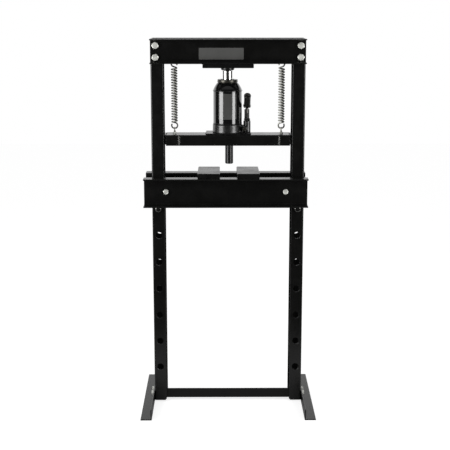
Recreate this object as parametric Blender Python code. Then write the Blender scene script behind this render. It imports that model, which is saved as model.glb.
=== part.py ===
"""A free-standing hydraulic shop press: H-frame, movable bed, and a bottle jack on a sprung platen.

Metres, +Z up, the front facing -Y. The origin is on the floor, under the middle of the frame.
"""

import math
from collections import namedtuple

import bmesh
import bpy
from mathutils import Matrix, Vector

BoltSize = namedtuple("BoltSize", "radius flats head nut beyond")

# Clearances between pieces
SEAT_GAP = 0.0003
BOLT_CLEARANCE = 0.0005
RUNNING_GAP = 0.0003

# Frame: two upright channels, open sides facing each other
FRAME_WIDTH = 0.611
FRAME_HEIGHT = 1.500
UPRIGHT_DEPTH = 0.100
UPRIGHT_FLANGE = 0.050
UPRIGHT_WALL = 0.005
UPRIGHT_FLOOR_GAP = 0.005
UPRIGHT_CHAMFER = 0.006
CORNER_RADIUS = 0.005

# Pin holes through both flanges of each upright
PIN_HOLE_RADIUS = 0.014
PIN_HOLE_PITCH = 0.112
PIN_HOLE_TOP_DROP = 0.676
PIN_HOLE_LOWEST = 0.150
PIN_CLEARANCE = 0.0012
PIN_PAST_BED = 0.007
PIN_CHAMFER = 0.003

# Top beam: two channels on the front and back of the uprights, flanges facing out
BEAM_HEIGHT = 0.096
BEAM_FLANGE = 0.048
BEAM_WALL = 0.005
BEAM_BOLT = BoltSize(radius=0.008, flats=0.024, head=0.010, nut=0.013, beyond=0.018)
BEAM_BOLT_INSET = 0.0205
BEAM_BOLT_DROPS = (0.026, 0.072)

# Header plate that the jack pushes on
HEADER_WIDTH = 0.200
HEADER_DEPTH = 0.180
HEADER_THICKNESS = 0.016
HEADER_CHAMFER = 0.001

# Feet and lower crossbar
FOOT_LENGTH = 0.500
FOOT_LEG = 0.045
FOOT_WALL = 0.005
FOOT_BOLT = BoltSize(radius=0.006, flats=0.019, head=0.0075, nut=0.010, beyond=0.013)
FOOT_BOLT_SPREAD = 0.046
FOOT_BOLT_HEIGHT = 0.026
CROSSBAR_HEIGHT = 0.040
CROSSBAR_LEG = 0.035
CROSSBAR_WALL = 0.005
CROSSBAR_FLOOR_GAP = 0.015
CROSSBAR_END_ROOM = 0.030

# Bed: two channels beside the uprights, flanges facing out
BED_OVERHANG = 0.0225
BED_SHIFT = -0.009
BED_HEIGHT = 0.1155
BED_FLANGE = 0.053
BED_WALL = 0.006
BED_SIDE_CLEARANCE = 0.002
BED_BOLT = BoltSize(radius=0.006, flats=0.019, head=0.0085, nut=0.010, beyond=0.014)

# Press plates lying across the bed
PLATE_WIDTH = 0.089
PLATE_DEPTH = 0.188
PLATE_THICKNESS = 0.020
PLATE_CHAMFER = 0.0015
PLATE_CENTRES = (-0.077, 0.081)

# Platen: a channel with its web up, guided in the uprights
PLATEN_END_CLEARANCE = 0.0085
PLATEN_DEPTH = 0.100
PLATEN_HEIGHT = 0.043
PLATEN_WALL = 0.005
GUIDE_SIDE_CLEARANCE = 0.003
GUIDE_END_CLEARANCE = 0.0035
GUIDE_HEIGHT = 0.039
GUIDE_WALL = 0.006
SEAT_PLATE_WIDTH = 0.179
SEAT_PLATE_DEPTH = 0.100
SEAT_PLATE_THICKNESS = 0.006
SEAT_PLATE_SHIFT = 0.0015
SEAT_PLATE_CHAMFER = 0.0008
PRESS_PIN_RADIUS = 0.016
PRESS_PIN_DROP = 0.121
PRESS_PIN_X = 0.005
PRESS_PIN_CHAMFER = 0.002

# Return springs, each hung from a bar and hooked to an eye bolt
SPRING_INSET = 0.033
SPRING_RADIUS = 0.0112
SPRING_WIRE = 0.0022
SPRING_TURNS = 20
SPRING_BOTTOM = 0.047
SPRING_TOP_DROP = 0.021
HOOK_RADIUS = 0.0118
HOOK_NECK = 0.0145
SPRING_BAR_RADIUS = 0.005
SPRING_BAR_RAISE = 0.0025
EYE_RADIUS = 0.0069
EYE_WIRE = 0.0022
EYE_SHANK_RADIUS = 0.004
EYE_SHANK_BELOW = 0.012
EYE_NUT_FLATS = 0.013
EYE_NUT_HEIGHT = 0.0065

# Bottle jack
JACK_X = -0.0015
JACK_BASE_MARGIN = 0.0025
JACK_BASE_HEIGHT = 0.033
JACK_FOOT_HEIGHT = 0.010
JACK_FOOT_STEP = 0.0015
TANK_RADIUS = 0.0575
TANK_WALL = 0.004
TANK_HEIGHT = 0.162
TANK_NECK_INSET = 0.0135
TANK_SHOULDER = 0.024
TANK_SPIGOT = 0.008
CYLINDER_RADIUS = 0.033
CYLINDER_BORE = 0.025
CAP_INSET = 0.003
CAP_HEIGHT = 0.019
CAP_SPIGOT = 0.012
RAM_RADIUS = 0.021
RAM_HEAD_RADIUS = 0.0246
RAM_HEAD_HEIGHT = 0.014
RAM_SHOWN = 0.031
SCREW_RADIUS = 0.014
SCREW_LENGTH = 0.080
SADDLE_RADIUS = 0.027
SADDLE_NECK = 0.002
SADDLE_HEIGHT = 0.0122
SADDLE_GROOVE = 0.003
FILLER_RADIUS = 0.005
FILLER_HEAD_RADIUS = 0.008
FILLER_DROP = 0.038
FILLER_HEAD_HEIGHT = 0.004
FILLER_PAST_WALL = 0.003

# Pump, beside the tank
PUMP_OFFSET = 0.0205
PUMP_BOSS_RADIUS = 0.0145
PUMP_BOSS_HEIGHT = 0.045
PUMP_SPIGOT_RADIUS = 0.008
PUMP_SPIGOT_LENGTH = 0.019
PUMP_HEX_FLATS = 0.022
PUMP_HEX_HEIGHT = 0.010
PUMP_BODY_RADIUS = 0.0095
PUMP_TOP = 0.031
PISTON_RADIUS = 0.006
PISTON_HEAD_HALF = 0.0065
PISTON_HEAD_THICKNESS = 0.012
PISTON_HEAD_DROP = 0.009
PIVOT_HEIGHT = 0.105
PIVOT_PIN_RADIUS = 0.004
PIVOT_PIN_LENGTH = 0.030
PIVOT_SLOT_GAP = 0.0009
PIVOT_SLOT_OUT = 0.0053
PIVOT_SLOT_IN = 0.0008
FULCRUM_REACH = 0.024
LUG_THICKNESS = 0.010
LUG_HALF = 0.0085
EAR_INNER = 0.0068
EAR_OUTER = 0.0132
EAR_RADIUS = 0.0078
FORK_REACH = 0.018
SOCKET_RADIUS = 0.013
SOCKET_BORE = 0.0105
SOCKET_LENGTH = 0.058
SOCKET_BORE_DEPTH = 0.045
SOCKET_TILT = math.radians(45)
SOCKET_ROOT = (-0.019, 0.006)
VALVE_OFFSET = -0.0105
VALVE_HEIGHT = 0.016
VALVE_RADIUS = 0.005
VALVE_HEAD_RADIUS = 0.007
VALVE_LENGTH = 0.026
VALVE_HEAD_LENGTH = 0.012
VALVE_BOSS_RADIUS = 0.0095
VALVE_BOSS_REACH = 0.034
VALVE_SLOT = 0.002

# Facets
ROUND_SIDES = 32
HOLE_SIDES = 16
SMALL_SIDES = 12
WIRE_TURN_STEPS = 8

# Places worked out from the sizes above
HALF_FRAME = FRAME_WIDTH / 2
HALF_DEPTH = UPRIGHT_DEPTH / 2
FLANGE_CENTRE = HALF_FRAME - UPRIGHT_FLANGE / 2
BEAM_INNER = HALF_DEPTH + SEAT_GAP
BEAM_BOTTOM = FRAME_HEIGHT - BEAM_HEIGHT
HEADER_BOTTOM = BEAM_BOTTOM - SEAT_GAP - HEADER_THICKNESS
PIN_HEIGHT = FRAME_HEIGHT - PIN_HOLE_TOP_DROP
PIN_HOLE_COUNT = 1 + int((PIN_HEIGHT - PIN_HOLE_LOWEST) / PIN_HOLE_PITCH)
PIN_RADIUS = PIN_HOLE_RADIUS - PIN_CLEARANCE
PIN_CENTRE = PIN_HEIGHT - PIN_HOLE_RADIUS + PIN_RADIUS + RUNNING_GAP
BED_BOTTOM = PIN_CENTRE + PIN_RADIUS + SEAT_GAP
BED_TOP = BED_BOTTOM + BED_HEIGHT
BED_INNER = HALF_DEPTH + BED_SIDE_CLEARANCE
BED_LENGTH = FRAME_WIDTH + 2 * BED_OVERHANG
BED_BOLT_SPREAD = HALF_FRAME - UPRIGHT_FLANGE - BED_BOLT.radius - BOLT_CLEARANCE - abs(BED_SHIFT)
PIN_LENGTH = 2 * (BED_INNER + BED_WALL + PIN_PAST_BED)
PLATEN_LENGTH = FRAME_WIDTH - 2 * (UPRIGHT_FLANGE + PLATEN_END_CLEARANCE)
SPRING_X = PLATEN_LENGTH / 2 - SPRING_INSET
BED_BOLT_HEIGHT = BED_BOTTOM + BED_HEIGHT / 2
SADDLE_TOP = HEADER_BOTTOM - SEAT_GAP
RAM_TOP = SADDLE_TOP - SADDLE_HEIGHT - SADDLE_NECK
CAP_TOP = RAM_TOP - RAM_SHOWN
CAP_BOTTOM = CAP_TOP - CAP_HEIGHT
TANK_TOP = CAP_BOTTOM - SEAT_GAP
TANK_BOTTOM = TANK_TOP - TANK_HEIGHT
JACK_BOTTOM = TANK_BOTTOM - SEAT_GAP - JACK_BASE_HEIGHT
SEAT_TOP = JACK_BOTTOM - SEAT_GAP
PLATEN_TOP = SEAT_TOP - SEAT_PLATE_THICKNESS - SEAT_GAP
JACK_BASE_RADIUS = TANK_RADIUS + JACK_BASE_MARGIN
TANK_NECK_RADIUS = TANK_RADIUS - TANK_NECK_INSET
CAP_RADIUS = TANK_NECK_RADIUS - CAP_INSET
CYLINDER_BOTTOM = TANK_BOTTOM + TANK_SPIGOT
CYLINDER_TOP = CAP_BOTTOM - CAP_SPIGOT - SEAT_GAP
PUMP_X = JACK_X + TANK_RADIUS + PUMP_OFFSET
VALVE_X = PUMP_X + VALVE_OFFSET
PUMP_BOSS_TOP = JACK_BOTTOM + PUMP_BOSS_HEIGHT
PIVOT_Z = JACK_BOTTOM + PIVOT_HEIGHT
SPRING_BAR_Z = BEAM_BOTTOM + SPRING_BAR_RAISE
HOOK_TOP_Z = SPRING_BAR_Z + SPRING_BAR_RADIUS + SPRING_WIRE - HOOK_RADIUS + SEAT_GAP
COIL_TOP_Z = BEAM_BOTTOM - SPRING_TOP_DROP
COIL_BOTTOM_Z = PLATEN_TOP + SPRING_BOTTOM
HOOK_BOTTOM_Z = COIL_BOTTOM_Z - HOOK_NECK
EYE_Z = HOOK_BOTTOM_Z - HOOK_RADIUS + SPRING_WIRE + SEAT_GAP + EYE_WIRE - EYE_RADIUS


def clear_scene():
    for thing in list(bpy.data.objects):
        bpy.data.objects.remove(thing, do_unlink=True)


def finish(name, colour, roughness, metallic):
    """A Principled material with a plain colour, roughness and metallic value."""
    material = bpy.data.materials.new(name)
    material.use_nodes = True
    shader = material.node_tree.nodes["Principled BSDF"]
    shader.inputs["Base Color"].default_value = (*colour, 1)
    shader.inputs["Roughness"].default_value = roughness
    shader.inputs["Metallic"].default_value = metallic
    material.diffuse_color = (*colour, 1)
    return material


def pivot(name, location, parent=None):
    """An empty on a joint's axis. Moving pieces are parented to it."""
    empty = bpy.data.objects.new(name, None)
    empty.empty_display_size = 0.02
    bpy.context.collection.objects.link(empty)
    empty.location = location
    if parent:
        empty.parent = parent
        empty.location = Vector(location) - Vector(parent["at"][:])
    empty["at"] = Vector(location)
    return empty


def solid(name, mesh, material, parent=None):
    """An object from a bmesh in world coordinates, with its origin on its parent's joint axis."""
    bmesh.ops.recalc_face_normals(mesh, faces=mesh.faces)
    if parent:
        bmesh.ops.translate(mesh, verts=mesh.verts, vec=-Vector(parent["at"][:]))
    data = bpy.data.meshes.new(name)
    mesh.to_mesh(data)
    mesh.free()
    data.materials.append(material)
    data.shade_smooth()
    data.set_sharp_from_angle(angle=math.radians(35))
    thing = bpy.data.objects.new(name, data)
    bpy.context.collection.objects.link(thing)
    thing.parent = parent
    return thing


def tool(name, mesh, parent=None):
    """A hidden helper solid for a Boolean."""
    helper = solid(name, mesh, bpy.data.materials["steel"], parent)
    helper.hide_render = True
    helper.display_type = "WIRE"
    return helper


def boolean(thing, mesh, operation, parent=None):
    """Joins the mesh to the object, or cuts it away."""
    helper = tool(f"{operation.lower()}_{len(thing.modifiers)}_{thing.name}", mesh, parent)
    modifier = thing.modifiers.new(helper.name, "BOOLEAN")
    modifier.operation = operation
    modifier.object = helper


def box(low, high):
    mesh = bmesh.new()
    bmesh.ops.create_cube(mesh, size=1)
    size = Vector(high) - Vector(low)
    centre = (Vector(high) + Vector(low)) / 2
    bmesh.ops.scale(mesh, vec=size, verts=mesh.verts)
    bmesh.ops.translate(mesh, vec=centre, verts=mesh.verts)
    return mesh


def chamfered(mesh, width):
    """Bevels every edge of a mesh with one flat."""
    bmesh.ops.bevel(mesh, geom=mesh.edges[:], offset=width, segments=1, affect="EDGES")
    return mesh


def prism(outline, axis, start, end):
    """An outline extruded along X, Y or Z. Its points are the other two coordinates, in order."""
    mesh = bmesh.new()
    place = {
        "X": lambda a, b, along: (along, a, b),
        "Y": lambda a, b, along: (a, along, b),
        "Z": lambda a, b, along: (a, b, along),
    }[axis]
    face = mesh.faces.new([mesh.verts.new(place(a, b, start)) for a, b in outline])
    made = bmesh.ops.extrude_face_region(mesh, geom=[face])["geom"]
    top = [item for item in made if isinstance(item, bmesh.types.BMVert)]
    bmesh.ops.translate(mesh, vec=place(0, 0, end - start), verts=top)
    return mesh


AXIS_TURNS = {
    "X": Matrix.Rotation(math.pi / 2, 4, "Y"),
    "Y": Matrix.Rotation(-math.pi / 2, 4, "X"),
    "Z": Matrix.Identity(4),
}


def turned(profile, centre, axis="Z", sides=ROUND_SIDES, ring=False):
    """A profile of (radius, height) points spun round an axis. A ring's profile is a closed loop."""
    mesh = bmesh.new()
    points = [mesh.verts.new((radius, 0, height)) for radius, height in profile]
    pairs = list(zip(points, points[1:]))
    if ring:
        pairs.append((points[-1], points[0]))
    edges = [mesh.edges.new(pair) for pair in pairs]
    bmesh.ops.spin(
        mesh,
        geom=points + edges,
        cent=(0, 0, 0),
        axis=(0, 0, 1),
        angle=math.tau,
        steps=sides,
        use_merge=True,
    )
    bmesh.ops.remove_doubles(mesh, verts=mesh.verts, dist=1e-6)
    bmesh.ops.transform(mesh, matrix=Matrix.Translation(centre) @ AXIS_TURNS[axis], verts=mesh.verts)
    return mesh


def rod(centre, radius, length, axis="Z", sides=SMALL_SIDES, chamfer=0.0):
    """A round bar centred on a point, with optional chamfered ends."""
    half = length / 2
    if chamfer:
        profile = [
            (0, -half),
            (radius - chamfer, -half),
            (radius, chamfer - half),
            (radius, half - chamfer),
            (radius - chamfer, half),
            (0, half),
        ]
    else:
        profile = [(0, -half), (radius, -half), (radius, half), (0, half)]
    return turned(profile, centre, axis, sides)


def merged(meshes):
    """Several separate shapes in one bmesh, for a cutter with many holes."""
    whole = bmesh.new()
    for mesh in meshes:
        data = bpy.data.meshes.new("part")
        mesh.to_mesh(data)
        mesh.free()
        whole.from_mesh(data)
        bpy.data.meshes.remove(data)
    return whole


def hexagon(flats, centre, axis, low, high, bore=0.0):
    """A hexagon prism from low to high along an axis, with its corners turned down and an optional bore."""
    corner = flats / math.sqrt(3)
    drop = (corner - flats / 2) * 0.5
    outline = [(corner - drop, low), (corner, low + drop), (corner, high - drop), (corner - drop, high)]
    if not bore:
        return turned([(0, low), *outline, (0, high)], centre, axis, 6)
    return turned([(bore, low), *outline, (bore, high)], centre, axis, 6, ring=True)


def arc(centre, radius, start, end, steps):
    """Points along an arc, in degrees."""
    angles = [math.radians(start + (end - start) * i / steps) for i in range(steps + 1)]
    return [(centre[0] + radius * math.cos(a), centre[1] + radius * math.sin(a)) for a in angles]


def channel(depth, flange, wall, radius, steps=3):
    """A channel's section: its web's outer face on the second axis, its flanges pointing along +first."""
    half = depth / 2
    inner = max(radius - wall / 2, 0.001)
    lower = arc((radius, -half + radius), radius, 270, 180, steps)
    upper = arc((radius, half - radius), radius, 180, 90, steps)
    upper_in = arc((wall + inner, half - wall - inner), inner, 90, 180, steps)
    lower_in = arc((wall + inner, -half + wall + inner), inner, 180, 270, steps)
    return [
        (flange, -half),
        *lower,
        *upper,
        (flange, half),
        (flange, half - wall),
        *upper_in,
        *lower_in,
        (flange, -half + wall),
    ]


def angle_section(leg_a, leg_b, wall):
    """An angle's section with its corner at the origin, its legs along +first and +second."""
    return [(0, 0), (leg_a, 0), (leg_a, wall), (wall, wall), (wall, leg_b), (0, leg_b)]


def bolt(name, centre, axis, toward, size, grip, material, parent=None):
    """A hexagon bolt. Its washer face seats at the centre, and its shank runs along toward."""
    washer = size.flats * 0.58
    washer_height = size.head * 0.25
    tip = grip + size.beyond
    profile = [
        (0, tip),
        (size.radius * 0.85, tip),
        (size.radius, tip - size.radius * 0.2),
        (size.radius, 0),
        (washer, 0),
        (washer, -washer_height),
        (size.flats * 0.48, -washer_height),
        (0, -washer_height),
    ]
    shank = turned([(r, toward * h) for r, h in profile], centre, axis, SMALL_SIDES)
    made = solid(name, shank, material, parent)
    ends = sorted((-toward * washer_height * 0.5, -toward * (washer_height + size.head)))
    boolean(made, hexagon(size.flats, centre, axis, *ends), "UNION", parent)
    return made


def nut(name, centre, axis, toward, radius, flats, height, material, parent=None):
    """A hexagon nut with its inner face at the centre and its body along toward."""
    ends = sorted((0, toward * height))
    made = solid(name, hexagon(flats, centre, axis, *ends), material, parent)
    boolean(made, rod(centre, radius + RUNNING_GAP, 4 * height, axis), "DIFFERENCE", parent)
    return made


def mirrored(outline, side):
    """An outline with its first coordinate taken to the given side."""
    return [(side * a, b) for a, b in outline]


def moved(outline, first, second):
    return [(a + first, b + second) for a, b in outline]


def make_uprights(paint):
    section = channel(UPRIGHT_DEPTH, UPRIGHT_FLANGE, UPRIGHT_WALL, CORNER_RADIUS)
    through = UPRIGHT_DEPTH * 2
    for label, side in (("left", -1), ("right", 1)):
        outline = moved(mirrored(section, -side), side * HALF_FRAME, 0)
        upright = solid(f"upright_{label}", prism(outline, "Z", UPRIGHT_FLOOR_GAP, FRAME_HEIGHT), paint)
        centre = side * FLANGE_CENTRE
        holes = [
            rod((centre, 0, PIN_HEIGHT - i * PIN_HOLE_PITCH), PIN_HOLE_RADIUS, through, "Y", HOLE_SIDES)
            for i in range(PIN_HOLE_COUNT)
        ]
        bolt_x = side * (HALF_FRAME - BEAM_BOLT_INSET)
        for drop in BEAM_BOLT_DROPS:
            place = (bolt_x, 0, FRAME_HEIGHT - drop)
            holes.append(rod(place, BEAM_BOLT.radius + BOLT_CLEARANCE, through, "Y"))
        for end in (-1, 1):
            place = (side * HALF_FRAME, end * FOOT_BOLT_SPREAD / 2, FOOT_BOLT_HEIGHT)
            holes.append(rod(place, FOOT_BOLT.radius + BOLT_CLEARANCE, 4 * UPRIGHT_WALL, "X"))
        boolean(upright, merged(holes), "DIFFERENCE")
        tip = side * (HALF_FRAME - UPRIGHT_FLANGE)
        reach = UPRIGHT_CHAMFER * 2
        wedge = [
            (tip - side * UPRIGHT_CHAMFER, UPRIGHT_FLOOR_GAP - UPRIGHT_CHAMFER),
            (tip + side * reach, UPRIGHT_FLOOR_GAP - UPRIGHT_CHAMFER),
            (tip - side * UPRIGHT_CHAMFER, UPRIGHT_FLOOR_GAP + reach),
        ]
        boolean(upright, prism(wedge, "Y", -through / 2, through / 2), "DIFFERENCE")


def make_beam(paint, zinc):
    section = channel(BEAM_HEIGHT, BEAM_FLANGE, BEAM_WALL, CORNER_RADIUS)
    middle = FRAME_HEIGHT - BEAM_HEIGHT / 2
    bolt_places = [
        (side * (HALF_FRAME - BEAM_BOLT_INSET), FRAME_HEIGHT - drop)
        for side in (-1, 1)
        for drop in BEAM_BOLT_DROPS
    ]
    for label, side in (("front", -1), ("back", 1)):
        outline = moved(mirrored(section, side), side * BEAM_INNER, middle)
        beam = solid(f"top_channel_{label}", prism(outline, "X", -HALF_FRAME, HALF_FRAME), paint)
        place_y = side * (BEAM_INNER + BEAM_WALL / 2)
        holes = [
            rod((x, place_y, z), BEAM_BOLT.radius + BOLT_CLEARANCE, 3 * BEAM_WALL, "Y")
            for x, z in bolt_places
        ]
        boolean(beam, merged(holes), "DIFFERENCE")
    outer = BEAM_INNER + BEAM_WALL + SEAT_GAP
    names = ("left_upper", "left_lower", "right_upper", "right_lower")
    for label, (x, z) in zip(names, bolt_places):
        bolt(f"beam_bolt_{label}", (x, -outer, z), "Y", 1, BEAM_BOLT, 2 * outer, zinc)
        nut(f"beam_nut_{label}", (x, outer, z), "Y", 1, BEAM_BOLT.radius, BEAM_BOLT.flats, BEAM_BOLT.nut,
            zinc)


def make_header(paint):
    low = (-HEADER_WIDTH / 2, -HEADER_DEPTH / 2, HEADER_BOTTOM)
    high = (HEADER_WIDTH / 2, HEADER_DEPTH / 2, HEADER_BOTTOM + HEADER_THICKNESS)
    solid("header_plate", chamfered(box(low, high), HEADER_CHAMFER), paint)


def make_spring_bars(steel):
    for label, side in (("left", -1), ("right", 1)):
        place = (side * SPRING_X, 0, SPRING_BAR_Z)
        length = 2 * (BEAM_INNER - SEAT_GAP)
        solid(f"spring_bar_{label}", rod(place, SPRING_BAR_RADIUS, length, "Y"), steel)


def make_feet(paint, zinc):
    section = angle_section(FOOT_LEG, FOOT_LEG, FOOT_WALL)
    inner = HALF_FRAME + SEAT_GAP
    outer = inner + FOOT_WALL + SEAT_GAP
    for label, side in (("left", -1), ("right", 1)):
        outline = moved(mirrored(section, side), side * inner, 0)
        foot = solid(f"foot_{label}", prism(outline, "Y", -FOOT_LENGTH / 2, FOOT_LENGTH / 2), paint)
        spots = [(end, end * FOOT_BOLT_SPREAD / 2) for end in (-1, 1)]
        holes = [
            rod((side * inner, y, FOOT_BOLT_HEIGHT), FOOT_BOLT.radius + BOLT_CLEARANCE, 4 * FOOT_WALL, "X")
            for _, y in spots
        ]
        boolean(foot, merged(holes), "DIFFERENCE")
        for end, y in spots:
            spot = f"{label}_{'front' if end < 0 else 'back'}"
            grip = outer - (HALF_FRAME - UPRIGHT_WALL) + SEAT_GAP
            bolt(f"foot_bolt_{spot}", (side * outer, y, FOOT_BOLT_HEIGHT), "X", -side, FOOT_BOLT, grip, zinc)
            seat = side * (outer - grip)
            nut(f"foot_nut_{spot}", (seat, y, FOOT_BOLT_HEIGHT), "X", -side, FOOT_BOLT.radius,
                FOOT_BOLT.flats, FOOT_BOLT.nut, zinc)


def make_crossbar(paint):
    front = -(HALF_DEPTH - UPRIGHT_WALL - SEAT_GAP)
    section = angle_section(CROSSBAR_LEG, CROSSBAR_HEIGHT, CROSSBAR_WALL)
    reach = HALF_FRAME - UPRIGHT_WALL - CROSSBAR_END_ROOM
    outline = moved(section, front, CROSSBAR_FLOOR_GAP)
    solid("lower_crossbar", prism(outline, "X", -reach, reach), paint)


def hook(centre_z, coil_z, up):
    """Points from a coil's end at +X over to the ring at -X and round it, in the XZ plane."""
    points = []
    for share in (0.2, 0.4, 0.6, 0.8):
        turn = math.pi * share
        reach = SPRING_RADIUS + (HOOK_RADIUS * 0.85 - SPRING_RADIUS) * share
        climb = (abs(centre_z - coil_z) - HOOK_RADIUS * 0.6) * share ** 1.2
        points.append((reach * math.cos(turn), up * reach * math.sin(turn) * (1 - share), coil_z + up * climb))
    for degrees in range(215, -40, -17):
        turn = math.radians(degrees)
        points.append((HOOK_RADIUS * math.cos(turn), 0, centre_z + up * HOOK_RADIUS * math.sin(turn)))
    return points


def make_springs(zinc):
    pitch = (COIL_TOP_Z - COIL_BOTTOM_Z) / SPRING_TURNS
    coil = [
        (
            SPRING_RADIUS * math.cos(math.tau * i / WIRE_TURN_STEPS),
            SPRING_RADIUS * math.sin(math.tau * i / WIRE_TURN_STEPS),
            COIL_BOTTOM_Z + pitch * i / WIRE_TURN_STEPS,
        )
        for i in range(SPRING_TURNS * WIRE_TURN_STEPS + 1)
    ]
    lower = hook(HOOK_BOTTOM_Z, COIL_BOTTOM_Z, -1)[::-1]
    upper = hook(HOOK_TOP_Z, COIL_TOP_Z, 1)
    points = lower + coil + upper
    for label, side in (("left", -1), ("right", 1)):
        data = bpy.data.curves.new(f"spring_{label}", "CURVE")
        data.dimensions = "3D"
        data.bevel_depth = SPRING_WIRE
        data.bevel_resolution = 0
        data.use_fill_caps = True
        line = data.splines.new("POLY")
        line.points.add(len(points) - 1)
        for point, (x, y, z) in zip(line.points, points):
            point.co = (side * SPRING_X + x, y, z, 1)
        data.materials.append(zinc)
        spring = bpy.data.objects.new(f"spring_{label}", data)
        bpy.context.collection.objects.link(spring)


def make_platen(paint, zinc, steel, lift):
    section = channel(PLATEN_DEPTH, PLATEN_HEIGHT, PLATEN_WALL, CORNER_RADIUS)
    outline = [(b, PLATEN_TOP - a) for a, b in section]
    half = PLATEN_LENGTH / 2
    platen = solid("platen_channel", prism(outline, "X", -half, half), paint, lift)
    holes = [
        rod((side * SPRING_X, 0, PLATEN_TOP), EYE_SHANK_RADIUS + BOLT_CLEARANCE, 4 * PLATEN_WALL, "Z")
        for side in (-1, 1)
    ]
    boolean(platen, merged(holes), "DIFFERENCE", lift)
    guide_depth = UPRIGHT_DEPTH - 2 * UPRIGHT_WALL - 2 * GUIDE_SIDE_CLEARANCE
    guide_section = channel(guide_depth, GUIDE_HEIGHT, GUIDE_WALL, CORNER_RADIUS)
    guide_outline = [(b, PLATEN_TOP - a) for a, b in guide_section]
    inner = half + SEAT_GAP
    outer = HALF_FRAME - UPRIGHT_WALL - GUIDE_END_CLEARANCE
    for label, side in (("left", -1), ("right", 1)):
        ends = sorted((side * inner, side * outer))
        solid(f"platen_guide_{label}", prism(guide_outline, "X", *ends), paint, lift)
    low = (SEAT_PLATE_SHIFT - SEAT_PLATE_WIDTH / 2, -SEAT_PLATE_DEPTH / 2, PLATEN_TOP + SEAT_GAP)
    high = (SEAT_PLATE_SHIFT + SEAT_PLATE_WIDTH / 2, SEAT_PLATE_DEPTH / 2, SEAT_TOP)
    solid("seat_plate", chamfered(box(low, high), SEAT_PLATE_CHAMFER), paint, lift)
    pin_top = PLATEN_TOP - PLATEN_WALL - SEAT_GAP
    pin_length = pin_top - (PLATEN_TOP - PRESS_PIN_DROP)
    place = (PRESS_PIN_X, 0, pin_top - pin_length / 2)
    pin = rod(place, PRESS_PIN_RADIUS, pin_length, "Z", ROUND_SIDES, PRESS_PIN_CHAMFER)
    solid("press_pin", pin, steel, lift)
    for label, side in (("left", -1), ("right", 1)):
        x = side * SPRING_X
        make_eye_bolt(f"eye_bolt_{label}", x, zinc, lift)
        nut(f"eye_nut_{label}", (x, 0, PLATEN_TOP + SEAT_GAP), "Z", 1, EYE_SHANK_RADIUS, EYE_NUT_FLATS,
            EYE_NUT_HEIGHT, zinc, lift)


def make_eye_bolt(name, x, zinc, lift):
    loop = [(EYE_RADIUS + a, b) for a, b in arc((0, 0), EYE_WIRE, 0, 315, 7)]
    eye = turned(loop, (x, 0, EYE_Z), "X", SMALL_SIDES, ring=True)
    made = solid(name, eye, zinc, lift)
    top = EYE_Z - EYE_RADIUS
    bottom = PLATEN_TOP - PLATEN_WALL - EYE_SHANK_BELOW
    shank = rod((x, 0, (top + bottom) / 2), EYE_SHANK_RADIUS, top - bottom, "Z", SMALL_SIDES)
    boolean(made, shank, "UNION", lift)


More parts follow.
